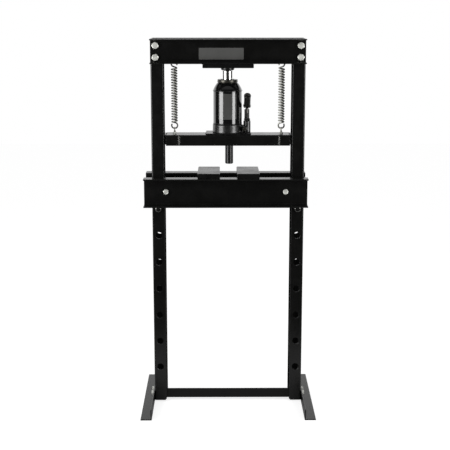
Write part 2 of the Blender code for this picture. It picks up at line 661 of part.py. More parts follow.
def make_jack_body(casting, paint, steel, rubber, lift):
    centre = (JACK_X, 0, 0)
    base_top = JACK_BOTTOM + JACK_BASE_HEIGHT
    foot_top = JACK_BOTTOM + JACK_FOOT_HEIGHT
    spigot = TANK_RADIUS - TANK_WALL - RUNNING_GAP
    profile = [
        (0, JACK_BOTTOM),
        (JACK_BASE_RADIUS - 0.001, JACK_BOTTOM),
        (JACK_BASE_RADIUS, JACK_BOTTOM + 0.001),
        (JACK_BASE_RADIUS, foot_top - JACK_FOOT_STEP),
        (JACK_BASE_RADIUS - JACK_FOOT_STEP, foot_top),
        (JACK_BASE_RADIUS - JACK_FOOT_STEP, base_top - 0.002),
        (JACK_BASE_RADIUS - JACK_FOOT_STEP - 0.002, base_top),
        (spigot, base_top),
        (spigot, base_top + TANK_SPIGOT),
        (0, base_top + TANK_SPIGOT),
    ]
    base = solid("jack_base", turned(profile, centre), casting, lift)
    boss = rod((PUMP_X, 0, JACK_BOTTOM + PUMP_BOSS_HEIGHT / 2), PUMP_BOSS_RADIUS, PUMP_BOSS_HEIGHT,
               "Z", HOLE_SIDES, 0.001)
    boolean(base, boss, "UNION", lift)
    web_half = PUMP_BOSS_RADIUS * 0.8
    web = box((JACK_X + TANK_RADIUS * 0.8, -web_half, JACK_BOTTOM), (PUMP_X, web_half, base_top - 0.004))
    boolean(base, web, "UNION", lift)
    valve_z = JACK_BOTTOM + VALVE_HEIGHT
    valve_boss = rod((VALVE_X, -VALVE_BOSS_REACH / 2, valve_z), VALVE_BOSS_RADIUS, VALVE_BOSS_REACH,
                     "Y", SMALL_SIDES, 0.001)
    boolean(base, valve_boss, "UNION", lift)
    lug = [
        (0, JACK_BOTTOM),
        (FULCRUM_REACH + LUG_HALF, JACK_BOTTOM),
        (FULCRUM_REACH + LUG_HALF, PIVOT_Z),
        *arc((FULCRUM_REACH, PIVOT_Z), LUG_HALF, 30, 150, 4),
        (FULCRUM_REACH - LUG_HALF, PIVOT_Z),
        (FULCRUM_REACH - LUG_HALF, PUMP_BOSS_TOP - 0.006),
        (0, PUMP_BOSS_TOP - 0.006),
    ]
    half = LUG_THICKNESS / 2
    boolean(base, prism(lug, "X", PUMP_X - half, PUMP_X + half), "UNION", lift)
    bore_depth = PUMP_SPIGOT_LENGTH + 0.002
    valve_front = -VALVE_BOSS_REACH
    holes = [
        rod((PUMP_X, 0, PUMP_BOSS_TOP), PUMP_SPIGOT_RADIUS + RUNNING_GAP, 2 * bore_depth, "Z", HOLE_SIDES),
        rod((PUMP_X, FULCRUM_REACH, PIVOT_Z), PIVOT_PIN_RADIUS + RUNNING_GAP, 2 * LUG_THICKNESS, "X"),
        rod((VALVE_X, valve_front, valve_z), VALVE_RADIUS + RUNNING_GAP, 2 * VALVE_LENGTH + 0.004, "Y"),
    ]
    boolean(base, merged(holes), "DIFFERENCE", lift)
    tube = [
        (CYLINDER_BORE, CYLINDER_BOTTOM),
        (CYLINDER_RADIUS, CYLINDER_BOTTOM),
        (CYLINDER_RADIUS, CYLINDER_TOP),
        (CYLINDER_BORE, CYLINDER_TOP),
    ]
    solid("jack_cylinder", turned(tube, centre, ring=True), steel, lift)
    shoulder_low = TANK_TOP - TANK_SHOULDER
    slope = TANK_RADIUS - TANK_NECK_RADIUS
    outside = [
        (TANK_RADIUS, TANK_BOTTOM),
        (TANK_RADIUS, shoulder_low),
        (TANK_RADIUS - slope * 0.12, shoulder_low + TANK_SHOULDER * 0.3),
        (TANK_RADIUS - slope * 0.4, shoulder_low + TANK_SHOULDER * 0.65),
        (TANK_NECK_RADIUS, TANK_TOP),
    ]
    inside = [(radius - TANK_WALL, height) for radius, height in reversed(outside)]
    tank = solid("jack_tank", turned(outside + inside, centre, ring=True), paint, lift)
    filler_z = TANK_TOP - FILLER_DROP
    place = (JACK_X, TANK_RADIUS, filler_z)
    boolean(tank, rod(place, FILLER_RADIUS + RUNNING_GAP, 4 * TANK_WALL, "Y"), "DIFFERENCE", lift)
    plug = [
        (0, -TANK_WALL - FILLER_PAST_WALL),
        (FILLER_RADIUS, -TANK_WALL - FILLER_PAST_WALL),
        (FILLER_RADIUS, SEAT_GAP),
        (FILLER_HEAD_RADIUS, SEAT_GAP),
        (FILLER_HEAD_RADIUS, FILLER_HEAD_HEIGHT / 2),
        (FILLER_HEAD_RADIUS - FILLER_HEAD_HEIGHT / 2, FILLER_HEAD_HEIGHT),
        (0, FILLER_HEAD_HEIGHT),
    ]
    solid("filler_plug", turned(plug, place, "Y", SMALL_SIDES), rubber, lift)
    cap_spigot = TANK_NECK_RADIUS - TANK_WALL - 4 * RUNNING_GAP
    cap = [
        (RAM_RADIUS + RUNNING_GAP, CAP_BOTTOM - CAP_SPIGOT),
        (cap_spigot, CAP_BOTTOM - CAP_SPIGOT),
        (cap_spigot, CAP_BOTTOM),
        (CAP_RADIUS, CAP_BOTTOM),
        (CAP_RADIUS, CAP_TOP - 0.002),
        (CAP_RADIUS - 0.002, CAP_TOP),
        (RAM_RADIUS + RUNNING_GAP, CAP_TOP),
    ]
    solid("jack_cap", turned(cap, centre, ring=True), steel, lift)


def make_ram(steel, casting, ram_lift, saddle_turn):
    centre = (JACK_X, 0, 0)
    head_low = CYLINDER_BOTTOM + 0.004
    bore_low = RAM_TOP - SCREW_LENGTH - 0.004
    bore = SCREW_RADIUS + RUNNING_GAP
    profile = [
        (0, head_low),
        (RAM_HEAD_RADIUS, head_low),
        (RAM_HEAD_RADIUS, head_low + RAM_HEAD_HEIGHT),
        (RAM_RADIUS, head_low + RAM_HEAD_HEIGHT),
        (RAM_RADIUS, RAM_TOP - 0.001),
        (RAM_RADIUS - 0.001, RAM_TOP),
        (bore, RAM_TOP),
        (bore, bore_low),
        (0, bore_low),
    ]
    solid("jack_ram", turned(profile, centre), steel, ram_lift)
    saddle_low = RAM_TOP + SADDLE_NECK
    profile = [
        (0, RAM_TOP - SCREW_LENGTH),
        (SCREW_RADIUS - 0.001, RAM_TOP - SCREW_LENGTH),
        (SCREW_RADIUS, RAM_TOP - SCREW_LENGTH + 0.001),
        (SCREW_RADIUS, saddle_low),
        (SADDLE_RADIUS - 0.004, saddle_low),
        (SADDLE_RADIUS, saddle_low + 0.003),
        (SADDLE_RADIUS, SADDLE_TOP - 0.001),
        (SADDLE_RADIUS - 0.001, SADDLE_TOP),
        (0, SADDLE_TOP),
    ]
    saddle = solid("ram_saddle", turned(profile, centre), casting, saddle_turn)
    reach = SADDLE_RADIUS * 1.2
    groove = SADDLE_GROOVE / 2
    for half_x, half_y in ((reach, groove), (groove, reach)):
        low = (JACK_X - half_x, -half_y, SADDLE_TOP - groove)
        high = (JACK_X + half_x, half_y, SADDLE_TOP + groove)
        boolean(saddle, box(low, high), "DIFFERENCE", saddle_turn)


def make_pump(steel, chrome, lift, piston_lift):
    seat = PUMP_BOSS_TOP + SEAT_GAP
    bore = PISTON_RADIUS + RUNNING_GAP
    bottom = seat - PUMP_SPIGOT_LENGTH
    top = seat + PUMP_TOP
    tube = [
        (bore, bottom),
        (PUMP_SPIGOT_RADIUS, bottom),
        (PUMP_SPIGOT_RADIUS, seat),
        (PUMP_BODY_RADIUS, seat),
        (PUMP_BODY_RADIUS, top - 0.001),
        (PUMP_BODY_RADIUS - 0.001, top),
        (bore, top),
    ]
    body = solid("pump_cylinder", turned(tube, (PUMP_X, 0, 0), sides=HOLE_SIDES, ring=True), steel, lift)
    boolean(body, hexagon(PUMP_HEX_FLATS, (PUMP_X, 0, 0), "Z", seat, seat + PUMP_HEX_HEIGHT, bore + 0.001),
            "UNION", lift)
    head_low = PIVOT_Z - PISTON_HEAD_DROP
    piston = rod((PUMP_X, 0, (seat + head_low) / 2), PISTON_RADIUS, head_low - seat + 0.004, "Z",
                 HOLE_SIDES)
    made = solid("pump_piston", piston, chrome, piston_lift)
    half = PISTON_HEAD_THICKNESS / 2
    outline = [
        (PISTON_HEAD_HALF, head_low),
        *arc((0, PIVOT_Z), PISTON_HEAD_HALF, 0, 180, 8),
        (-PISTON_HEAD_HALF, head_low),
    ]
    boolean(made, prism(outline, "X", PUMP_X - half, PUMP_X + half), "UNION", piston_lift)
    hole = rod((PUMP_X, 0, PIVOT_Z), PIVOT_PIN_RADIUS + RUNNING_GAP, 2 * PISTON_HEAD_THICKNESS, "X")
    boolean(made, hole, "DIFFERENCE", piston_lift)
    pin = rod((PUMP_X, 0, PIVOT_Z), PIVOT_PIN_RADIUS, PIVOT_PIN_LENGTH, "X", SMALL_SIDES, 0.0006)
    solid("piston_pin", pin, chrome, piston_lift)
    pin = rod((PUMP_X, FULCRUM_REACH, PIVOT_Z), PIVOT_PIN_RADIUS, PIVOT_PIN_LENGTH, "X", SMALL_SIDES, 0.0006)
    solid("fulcrum_pin", pin, chrome, lift)


def socket_tube(radius, start, end):
    """A round bar along the handle socket's axis, from start to end metres past its root."""
    root = Vector((PUMP_X, SOCKET_ROOT[0], PIVOT_Z + SOCKET_ROOT[1]))
    turn = Matrix.Translation(root) @ Matrix.Rotation(SOCKET_TILT, 4, "X")
    bar = rod((0, 0, (start + end) / 2), radius, end - start, "Z", HOLE_SIDES)
    bmesh.ops.transform(bar, matrix=turn, verts=bar.verts)
    return bar


def make_handle_socket(casting, pivot_empty):
    """A tube for the pump bar, with a fork whose ears carry the fulcrum pin and the piston pin."""
    root_y, root_z = SOCKET_ROOT
    ears = [
        *arc((FULCRUM_REACH, PIVOT_Z), EAR_RADIUS, -90, 90, 6),
        (root_y + 0.014, PIVOT_Z + EAR_RADIUS),
        (root_y + SOCKET_RADIUS * 0.7, PIVOT_Z + root_z + SOCKET_RADIUS * 0.7),
        (root_y - SOCKET_RADIUS * 0.7, PIVOT_Z + root_z - SOCKET_RADIUS * 0.7),
        (-0.004, PIVOT_Z - EAR_RADIUS),
    ]
    made = solid("handle_socket", prism(ears, "X", PUMP_X - EAR_OUTER, PUMP_X + EAR_OUTER), casting,
                 pivot_empty)
    boolean(made, socket_tube(SOCKET_RADIUS, -0.002, SOCKET_LENGTH), "UNION", pivot_empty)
    fork = box((PUMP_X - EAR_INNER, -FORK_REACH, PIVOT_Z - 0.05),
               (PUMP_X + EAR_INNER, FULCRUM_REACH + 0.03, PIVOT_Z + 0.05))
    boolean(made, fork, "DIFFERENCE", pivot_empty)
    bore = socket_tube(SOCKET_BORE, SOCKET_LENGTH - SOCKET_BORE_DEPTH, SOCKET_LENGTH + 0.01)
    boolean(made, bore, "DIFFERENCE", pivot_empty)
    wide = PIVOT_PIN_RADIUS + PIVOT_SLOT_GAP
    slot = [
        *arc((PIVOT_SLOT_IN, PIVOT_Z), wide, -90, 90, 8),
        *arc((-PIVOT_SLOT_OUT, PIVOT_Z), wide, 90, 270, 8),
    ]
    reach = EAR_OUTER * 1.5
    boolean(made, prism(slot, "X", PUMP_X - reach, PUMP_X + reach), "DIFFERENCE", pivot_empty)
    hole = rod((PUMP_X, FULCRUM_REACH, PIVOT_Z), PIVOT_PIN_RADIUS + RUNNING_GAP, 2 * reach, "X")
    boolean(made, hole, "DIFFERENCE", pivot_empty)


def make_release_valve(steel, turn_empty):
    front = -VALVE_BOSS_REACH
    place = (VALVE_X, front, JACK_BOTTOM + VALVE_HEIGHT)
    profile = [
        (0, VALVE_LENGTH),
        (VALVE_RADIUS * 0.4, VALVE_LENGTH),
        (VALVE_RADIUS, VALVE_LENGTH - 0.004),
        (VALVE_RADIUS, -SEAT_GAP),
        (VALVE_HEAD_RADIUS, -SEAT_GAP),
        (VALVE_HEAD_RADIUS, 0.001 - VALVE_HEAD_LENGTH),
        (VALVE_HEAD_RADIUS - 0.001, -VALVE_HEAD_LENGTH),
        (0, -VALVE_HEAD_LENGTH),
    ]
    valve = solid("release_valve", turned(profile, place, "Y", SMALL_SIDES), steel, turn_empty)
    end = front - VALVE_HEAD_LENGTH
    half = VALVE_SLOT / 2
    slot = box((VALVE_X - 0.02, end - 0.004, place[2] - half), (VALVE_X + 0.02, end + 0.005, place[2] + half))
    boolean(valve, slot, "DIFFERENCE", turn_empty)


def make_bed(paint, zinc, lift):
    section = channel(BED_HEIGHT, BED_FLANGE, BED_WALL, CORNER_RADIUS)
    middle = BED_BOTTOM + BED_HEIGHT / 2
    low_x = BED_SHIFT - BED_LENGTH / 2
    high_x = BED_SHIFT + BED_LENGTH / 2
    bolt_xs = [BED_SHIFT + side * BED_BOLT_SPREAD for side in (-1, 1)]
    for label, side in (("front", -1), ("back", 1)):
        outline = moved(mirrored(section, side), side * BED_INNER, middle)
        bed = solid(f"bed_channel_{label}", prism(outline, "X", low_x, high_x), paint, lift)
        place_y = side * (BED_INNER + BED_WALL / 2)
        holes = [
            rod((x, place_y, BED_BOLT_HEIGHT), BED_BOLT.radius + BOLT_CLEARANCE, 3 * BED_WALL, "Y")
            for x in bolt_xs
        ]
        boolean(bed, merged(holes), "DIFFERENCE", lift)
    outer = BED_INNER + BED_WALL + SEAT_GAP
    for label, x in zip(("left", "right"), bolt_xs):
        bolt(f"bed_bolt_{label}", (x, -outer, BED_BOLT_HEIGHT), "Y", 1, BED_BOLT, 2 * outer, zinc, lift)
        nut(f"bed_nut_{label}", (x, outer, BED_BOLT_HEIGHT), "Y", 1, BED_BOLT.radius, BED_BOLT.flats,
            BED_BOLT.nut, zinc, lift)


def make_pins(steel, bed_lift):
    for label, side in (("left", -1), ("right", 1)):
        place = (side * FLANGE_CENTRE, 0, PIN_CENTRE)
        pull = pivot(f"pin_pull_{label}", place, bed_lift)
        pin = rod(place, PIN_RADIUS, PIN_LENGTH, "Y", HOLE_SIDES, PIN_CHAMFER)
        solid(f"bed_pin_{label}", pin, steel, pull)


def make_press_plates(steel, bed_lift):
    for label, x in zip(("left", "right"), PLATE_CENTRES):
        low = (x - PLATE_WIDTH / 2, -PLATE_DEPTH / 2, BED_TOP + SEAT_GAP)
        high = (x + PLATE_WIDTH / 2, PLATE_DEPTH / 2, BED_TOP + SEAT_GAP + PLATE_THICKNESS)
        slide = pivot(f"plate_slide_{label}", (x, 0, BED_TOP), bed_lift)
        solid(f"press_plate_{label}", chamfered(box(low, high), PLATE_CHAMFER), steel, slide)


def main():
    clear_scene()
    steel = finish("steel", (0.30, 0.30, 0.29), 0.4, 1.0)
    paint = finish("black_paint", (0.012, 0.012, 0.011), 0.35, 0.0)
    casting = finish("black_casting", (0.015, 0.015, 0.015), 0.25, 0.0)
    zinc = finish("zinc", (0.62, 0.62, 0.58), 0.3, 1.0)
    chrome = finish("chrome", (0.80, 0.80, 0.80), 0.08, 1.0)
    rubber = finish("rubber", (0.02, 0.02, 0.02), 0.7, 0.0)

    make_uprights(paint)
    make_beam(paint, zinc)
    make_header(paint)
    make_spring_bars(steel)
    make_feet(paint, zinc)
    make_crossbar(paint)
    make_springs(zinc)

    platen_lift = pivot("platen_lift", (0, 0, PLATEN_TOP))
    make_platen(paint, zinc, steel, platen_lift)
    make_jack_body(casting, paint, steel, rubber, platen_lift)
    ram_lift = pivot("ram_lift", (JACK_X, 0, RAM_TOP), platen_lift)
    saddle_turn = pivot("saddle_turn", (JACK_X, 0, SADDLE_TOP), ram_lift)
    make_ram(steel, casting, ram_lift, saddle_turn)
    piston_lift = pivot("piston_lift", (PUMP_X, 0, PIVOT_Z), platen_lift)
    make_pump(steel, chrome, platen_lift, piston_lift)
    make_handle_socket(casting, pivot("handle_pivot", (PUMP_X, FULCRUM_REACH, PIVOT_Z), platen_lift))
    valve_turn = pivot("valve_turn", (VALVE_X, -VALVE_BOSS_REACH, JACK_BOTTOM + VALVE_HEIGHT), platen_lift)
    make_release_valve(steel, valve_turn)

    bed_lift = pivot("bed_lift", (BED_SHIFT, 0, BED_TOP))
    make_bed(paint, zinc, bed_lift)
    make_pins(steel, bed_lift)
    make_press_plates(steel, bed_lift)


main()
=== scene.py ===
"""Looks of a free-standing hydraulic shop press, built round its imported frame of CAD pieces.

Metres, +Z up, the front facing -Y. Every piece lies where its CAD node lies and rides on that node's body.
"""

import logging
import math
from collections.abc import Callable, Iterable, Sequence
from dataclasses import dataclass, replace
from enum import Enum
from functools import wraps

import bmesh
import bpy
from mathutils import Matrix, Vector


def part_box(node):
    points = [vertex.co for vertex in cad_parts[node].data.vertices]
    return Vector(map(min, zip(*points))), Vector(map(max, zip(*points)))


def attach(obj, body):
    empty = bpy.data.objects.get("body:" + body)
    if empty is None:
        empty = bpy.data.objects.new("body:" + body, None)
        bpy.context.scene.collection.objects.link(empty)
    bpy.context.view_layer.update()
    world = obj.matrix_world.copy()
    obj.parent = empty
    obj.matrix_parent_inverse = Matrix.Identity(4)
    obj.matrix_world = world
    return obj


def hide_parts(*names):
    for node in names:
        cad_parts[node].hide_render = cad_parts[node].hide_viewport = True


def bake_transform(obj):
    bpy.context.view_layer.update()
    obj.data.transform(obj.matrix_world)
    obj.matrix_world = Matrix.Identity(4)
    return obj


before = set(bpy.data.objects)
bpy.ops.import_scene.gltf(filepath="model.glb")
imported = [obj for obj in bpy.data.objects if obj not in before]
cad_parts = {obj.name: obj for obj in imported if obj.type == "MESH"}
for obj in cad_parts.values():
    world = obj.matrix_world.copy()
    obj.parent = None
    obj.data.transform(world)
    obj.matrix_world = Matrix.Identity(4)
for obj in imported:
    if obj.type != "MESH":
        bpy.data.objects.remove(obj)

Outline = list[tuple[float, float]]
Triple = tuple[float, float, float]
Ring = list[Vector]

log = logging.getLogger("shop_press")
ROUND = 96
FINE = 48
HEX_SIDES = 72
NO_SIZE = 1e-7
STRAIGHT = 1.56
FILLET_STEPS = 5
TIP_RADIUS = 0.0018


class Axis(Enum):
    """The world axis that a turned or extruded piece runs along."""

    X = "X"
    Y = "Y"
    Z = "Z"

    def turn(self) -> Matrix:
        """The rotation that takes +Z to this axis."""
        angle, about = {"X": (math.pi / 2, "Y"), "Y": (-math.pi / 2, "X"), "Z": (0.0, "Z")}[self.value]
        return Matrix.Rotation(angle, 4, about)


# ---------------------------------------------------------------- outlines


def arc(centre: tuple[float, float], radius: float, start: float, end: float, steps: int) -> Outline:
    """Points along an arc from one angle to another, in degrees, both ends included."""
    angles = [math.radians(start + (end - start) * i / steps) for i in range(steps + 1)]
    return [(centre[0] + radius * math.cos(a), centre[1] + radius * math.sin(a)) for a in angles]


def rounded(corners: Sequence[Triple], steps: int = FILLET_STEPS, closed: bool = True) -> Outline:
    """An outline whose corners are filleted.

    Args:
        corners: Each corner as (first, second, fillet radius). A radius of 0 stays sharp.
        steps: Segments in each fillet.
        closed: Whether the last corner joins the first.

    Returns:
        The outline's points in order.
    """
    points: Outline = []
    count = len(corners)
    for i, (a, b, radius) in enumerate(corners):
        here = Vector((a, b))
        if radius <= 0 or (not closed and i in (0, count - 1)):
            points.append((a, b))
            continue
        before = (Vector(corners[i - 1][:2]) - here).normalized()
        after = (Vector(corners[(i + 1) % count][:2]) - here).normalized()
        half = before.angle(after) / 2
        if half > STRAIGHT:
            points.append((a, b))
            continue
        centre = here + (before + after).normalized() * (radius / math.sin(half))
        start = here + before * (radius / math.tan(half)) - centre
        turn = start.angle_signed(here + after * (radius / math.tan(half)) - centre)
        for k in range(steps + 1):
            share = -turn * k / steps
            cos, sin = math.cos(share), math.sin(share)
            points.append((centre.x + start.x * cos - start.y * sin,
                           centre.y + start.x * sin + start.y * cos))
    return points


def channel_outline(depth: float, flange: float, wall: float, radius: float,
                    tip: float = TIP_RADIUS) -> Outline:
    """A rolled channel's section, its web at 0 on the first axis and its flanges along +first.

    Args:
        depth: Height over both flanges.
        flange: Flange length over the web.
        wall: Thickness.
        radius: Outer corner radius.
        tip: Radius on the flange tips.

    Returns:
        The section's outline.
    """
    half = depth / 2
    inner = max(radius - wall / 2, 0.001)
    return rounded([
        (flange, -half, tip), (0, -half, radius), (0, half, radius), (flange, half, tip),
        (flange, half - wall, tip), (wall, half - wall, inner), (wall, wall - half, inner),
        (flange, wall - half, tip),
    ])


def angle_outline(leg_a: float, leg_b: float, wall: float, heel: float = 0.0012, toe: float = 0.0008,
                  root: float = 0.003) -> Outline:
    """A rolled angle's section with its heel at the origin and its legs along +first and +second.

    Args:
        leg_a: Length of the leg along the first axis.
        leg_b: Length of the leg along the second axis.
        wall: Thickness.
        heel: Radius of the outer corner.
        toe: Radius on the outer edge of each leg's end.
        root: Radius of the inner corner.

    Returns:
        The section's outline.
    """
    return rounded([
        (0, 0, heel), (leg_a, 0, toe), (leg_a, wall, TIP_RADIUS), (wall, wall, root),
        (wall, leg_b, TIP_RADIUS), (0, leg_b, toe),
    ])


def placed(outline: Outline, first: float, second: float, flip: float = 1.0) -> Outline:
    """An outline with its first coordinate flipped or not, moved to a place."""
    return [(flip * a + first, b + second) for a, b in outline]


# ---------------------------------------------------------------- solids


def loft(rings: Sequence[Ring], loop: bool = False) -> bmesh.types.BMesh:
    """A closed shape through rings of points.

    Args:
        rings: Rings with the same number of points. A ring of one point is a pole.
        loop: Whether the last ring joins the first, which leaves no caps.

    Returns:
        The shape, with its faces pointing out.
    """
    mesh = bmesh.new()
    rows = [[mesh.verts.new(point) for point in ring] for ring in rings]
    pairs = list(zip(rows, rows[1:])) + ([(rows[-1], rows[0])] if loop else [])
    for low, high in pairs:
        sides = max(len(low), len(high))
        for i in range(sides):
            j = (i + 1) % sides
            if len(low) == 1:
                mesh.faces.new((low[0], high[j], high[i]))
            elif len(high) == 1:
                mesh.faces.new((low[i], low[j], high[0]))
            else:
                mesh.faces.new((low[i], low[j], high[j], high[i]))
    if not loop:
        for end in (rows[0], rows[-1]):
            if len(end) > 2:
                mesh.faces.new(end)
    bmesh.ops.recalc_face_normals(mesh, faces=mesh.faces)
    return mesh


def ring_of(radius: float, height: float, sides: int, at: Callable[[float], float] | None = None) -> Ring:
    """A level ring about +Z.

    Args:
        radius: Its radius. 0 gives a pole.
        height: Its height.
        sides: How many points it has.
        at: The radius at an angle, for a ring that isn't round.

    Returns:
        The ring's points.
    """
    if radius <= NO_SIZE and at is None:
        return [Vector((0, 0, height))]
    spokes = [(a, at(a) if at else radius) for a in (math.tau * i / sides for i in range(sides))]
    return [Vector((reach * math.cos(a), reach * math.sin(a), height)) for a, reach in spokes]


def moved(mesh: bmesh.types.BMesh, matrix: Matrix) -> bmesh.types.BMesh:
    """The shape, transformed in place.

    Args:
        mesh: The shape.
        matrix: Where it goes. A mirroring one turns the faces round again.

    Returns:
        The same shape.
    """
    bmesh.ops.transform(mesh, matrix=matrix, verts=mesh.verts)
    if matrix.determinant() < 0:
        bmesh.ops.reverse_faces(mesh, faces=mesh.faces)
    return mesh


def upside_down(place: Sequence[float]) -> Matrix:
    """The matrix that turns a shape on its head and moves its foot to a place."""
    return Matrix.Translation(place) @ Matrix.Rotation(math.pi, 4, "X")


def turned(profile: Outline, centre: Sequence[float] = (0, 0, 0), axis: Axis = Axis.Z, sides: int = ROUND,
           tube: bool = False) -> bmesh.types.BMesh:
    """A profile of (radius, height) spun round an axis from its zero height, closed on itself for a tube."""
    rings = [ring_of(radius, height, sides) for radius, height in profile]
    return moved(loft(rings, tube), Matrix.Translation(centre) @ axis.turn())


def bar(centre: Sequence[float], radius: float, length: float, axis: Axis, sides: int = FINE,
        edge: float = 0.0) -> bmesh.types.BMesh:
    """A round bar.

    Args:
        centre: Its middle.
        radius: Its radius.
        length: Its length.
        axis: The axis that it runs along.
        sides: Facets round it.
        edge: Radius of its ends' edges. 0 leaves them sharp.

    Returns:
        The bar.
    """
    half = length / 2
    corners = [(0, -half, 0), (radius, -half, edge), (radius, half, edge), (0, half, 0)]
    return turned(rounded(corners, 4, closed=False), centre, axis, sides)


def inset(outline: Outline, width: float, least: float = 0.5) -> Outline:
    """The outline moved inward by a width.

    Args:
        outline: A closed outline, in either direction.
        width: How far each side moves.
        least: How small a corner's cosine may count, so that no sharp corner runs away.

    Returns:
        The smaller outline, point for point.
    """
    count = len(outline)
    area = sum(outline[i - 1][0] * outline[i][1] - outline[i][0] * outline[i - 1][1] for i in range(count))
    inward = math.copysign(width, area)
    moved_in = []
    for i, (a, b) in enumerate(outline):
        before = (Vector((a, b)) - Vector(outline[i - 1])).normalized()
        after = (Vector(outline[(i + 1) % count]) - Vector((a, b))).normalized()
        along = (before + after).normalized()
        stretch = inward / max(along.dot(before), least)
        moved_in.append((a - along.y * stretch, b + along.x * stretch))
    return moved_in


def prism(outline: Outline, axis: Axis, start: float, end: float, edge: float = 0.0004,
          bulge: float = 0.3) -> bmesh.types.BMesh:
    """An outline extruded along an axis. Its points are the other two coordinates, in order.

    Args:
        outline: The section.
        axis: The axis to extrude along.
        start: One end.
        end: The other end.
        edge: Width of the small round-over at both ends.
        bulge: Where the round-over's middle lies, as a share of its width.

    Returns:
        The extruded shape.
    """
    spread = {
        Axis.X: lambda a, b, along: Vector((along, a, b)),
        Axis.Y: lambda a, b, along: Vector((a, along, b)),
        Axis.Z: lambda a, b, along: Vector((a, b, along)),
    }[axis]
    low, high = sorted((start, end))
    rows = [(low, 0.0), (high, 0.0)]
    if edge:
        rows = [(low, edge), (low + bulge * edge, bulge * edge), (low + edge, 0.0),
                (high - edge, 0.0), (high - bulge * edge, bulge * edge), (high, edge)]
    mesh = loft([[spread(a, b, along) for a, b in (inset(outline, width) if width else outline)]
                 for along, width in rows])
    caps = [face for face in mesh.faces if len(face.verts) > 4]
    bmesh.ops.triangulate(mesh, faces=caps, ngon_method="EAR_CLIP")
    return mesh


def block(low: Sequence[float], high: Sequence[float], edge: float = 0.0,
          segments: int = 3) -> bmesh.types.BMesh:
    """A box with rounded edges.

    Args:
        low: Its low corner.
        high: Its high corner.
        edge: Radius of its edges. 0 leaves them sharp.
        segments: Segments in each edge.

    Returns:
        The box.
    """
    mesh = bmesh.new()
    size = Vector(high) - Vector(low)
    bmesh.ops.create_cube(mesh, size=1)
    bmesh.ops.scale(mesh, vec=size, verts=mesh.verts)
    bmesh.ops.translate(mesh, vec=(Vector(high) + Vector(low)) / 2, verts=mesh.verts)
    if edge:
        bmesh.ops.bevel(mesh, geom=mesh.edges[:], offset=edge, segments=segments, affect="EDGES")
    return mesh


def joined(meshes: Iterable[bmesh.types.BMesh]) -> bmesh.types.BMesh:
    """Several shapes in one, unchanged.

    Args:
        meshes: The shapes, which are used up.

    Returns:
        The one shape.
    """
    whole = bmesh.new()
    for mesh in meshes:
        data = bpy.data.meshes.new("loose")
        mesh.to_mesh(data)
        mesh.free()
        whole.from_mesh(data)
        bpy.data.meshes.remove(data)
    return whole


def evaluated(mesh: bmesh.types.BMesh, dress: Callable[[bpy.types.Object], None]) -> bmesh.types.BMesh:
    """The shape after modifiers.

    Args:
        mesh: The shape, which is used up.
        dress: Adds the modifiers to a scratch object.

    Returns:
        The resulting shape.
    """
    data = bpy.data.meshes.new("scratch")
    mesh.to_mesh(data)
    mesh.free()
    scratch = bpy.data.objects.new("scratch", data)
    bpy.context.scene.collection.objects.link(scratch)
    dress(scratch)
    bpy.context.view_layer.update()
    made = bmesh.new()
    made.from_object(scratch, bpy.context.evaluated_depsgraph_get())
    bpy.data.objects.remove(scratch)
    bpy.data.meshes.remove(data)
    return made


def carved(mesh: bmesh.types.BMesh, tool: bmesh.types.BMesh) -> bmesh.types.BMesh:
    """The shape with another shape cut out of it.

    Args:
        mesh: The shape, which is used up.
        tool: What is cut out, which is used up too.

    Returns:
        What is left.
    """
    data = bpy.data.meshes.new("cutter")
    tool.to_mesh(data)
    tool.free()
    cutter = bpy.data.objects.new("cutter", data)
    bpy.context.scene.collection.objects.link(cutter)

    def dress(scratch: bpy.types.Object) -> None:
        """Adds the exact Boolean.

        Args:
            scratch: The object that holds the shape.
        """
        modifier = scratch.modifiers.new("carve", "BOOLEAN")
        modifier.operation = "DIFFERENCE"
        modifier.solver = "EXACT"
        modifier.object = cutter

    made = evaluated(mesh, dress)
    bpy.data.objects.remove(cutter)
    bpy.data.meshes.remove(data)
    return made


def cast(mesh: bmesh.types.BMesh, voxel: float, rounds: int) -> bmesh.types.BMesh:
    """The shape with its corners and joints melted together, as on a casting.

    Args:
        mesh: Overlapping closed shapes, which are used up.
        voxel: Size of the grid that it is rebuilt on.
        rounds: How often it is smoothed.

    Returns:
        One smooth shape.
    """
    def dress(scratch: bpy.types.Object) -> None:
        """Adds the rebuild and the smoothing.

        Args:
            scratch: The object that holds the shape.
        """
        remesh = scratch.modifiers.new("rebuild", "REMESH")
        remesh.mode = "VOXEL"
        remesh.voxel_size = voxel
        soften = scratch.modifiers.new("soften", "SMOOTH")
        soften.iterations = rounds
        soften.factor = 0.5

    return evaluated(mesh, dress)


def drill(centre: Sequence[float], radius: float, axis: Axis, walls: Sequence[tuple[float, float]],
          edge: float = 0.0005, sides: int = FINE, past: float = 0.004) -> bmesh.types.BMesh:
    """A cutter for a hole with broken edges through one or more walls.

    Args:
        centre: A point on the hole's axis, at 0 along it.
        radius: The hole's radius.
        axis: Its axis.
        walls: Each wall's low and high face along the axis, in order.
        edge: Width of the broken edge.
        sides: Facets round the hole.
        past: How far it reaches past the first and last wall.

    Returns:
        The cutter.
    """
    start, end = walls[0][0] - past, walls[-1][1] + past
    profile: Outline = [(0, start), (radius, start)]
    for low, high in walls:
        profile += [(radius + 2 * edge, low - edge), (radius, low + edge), (radius, high - edge),
                    (radius + 2 * edge, high + edge), (radius, high + 1.5 * edge)]
    return turned([*profile, (radius, end), (0, end)], centre, axis, sides)


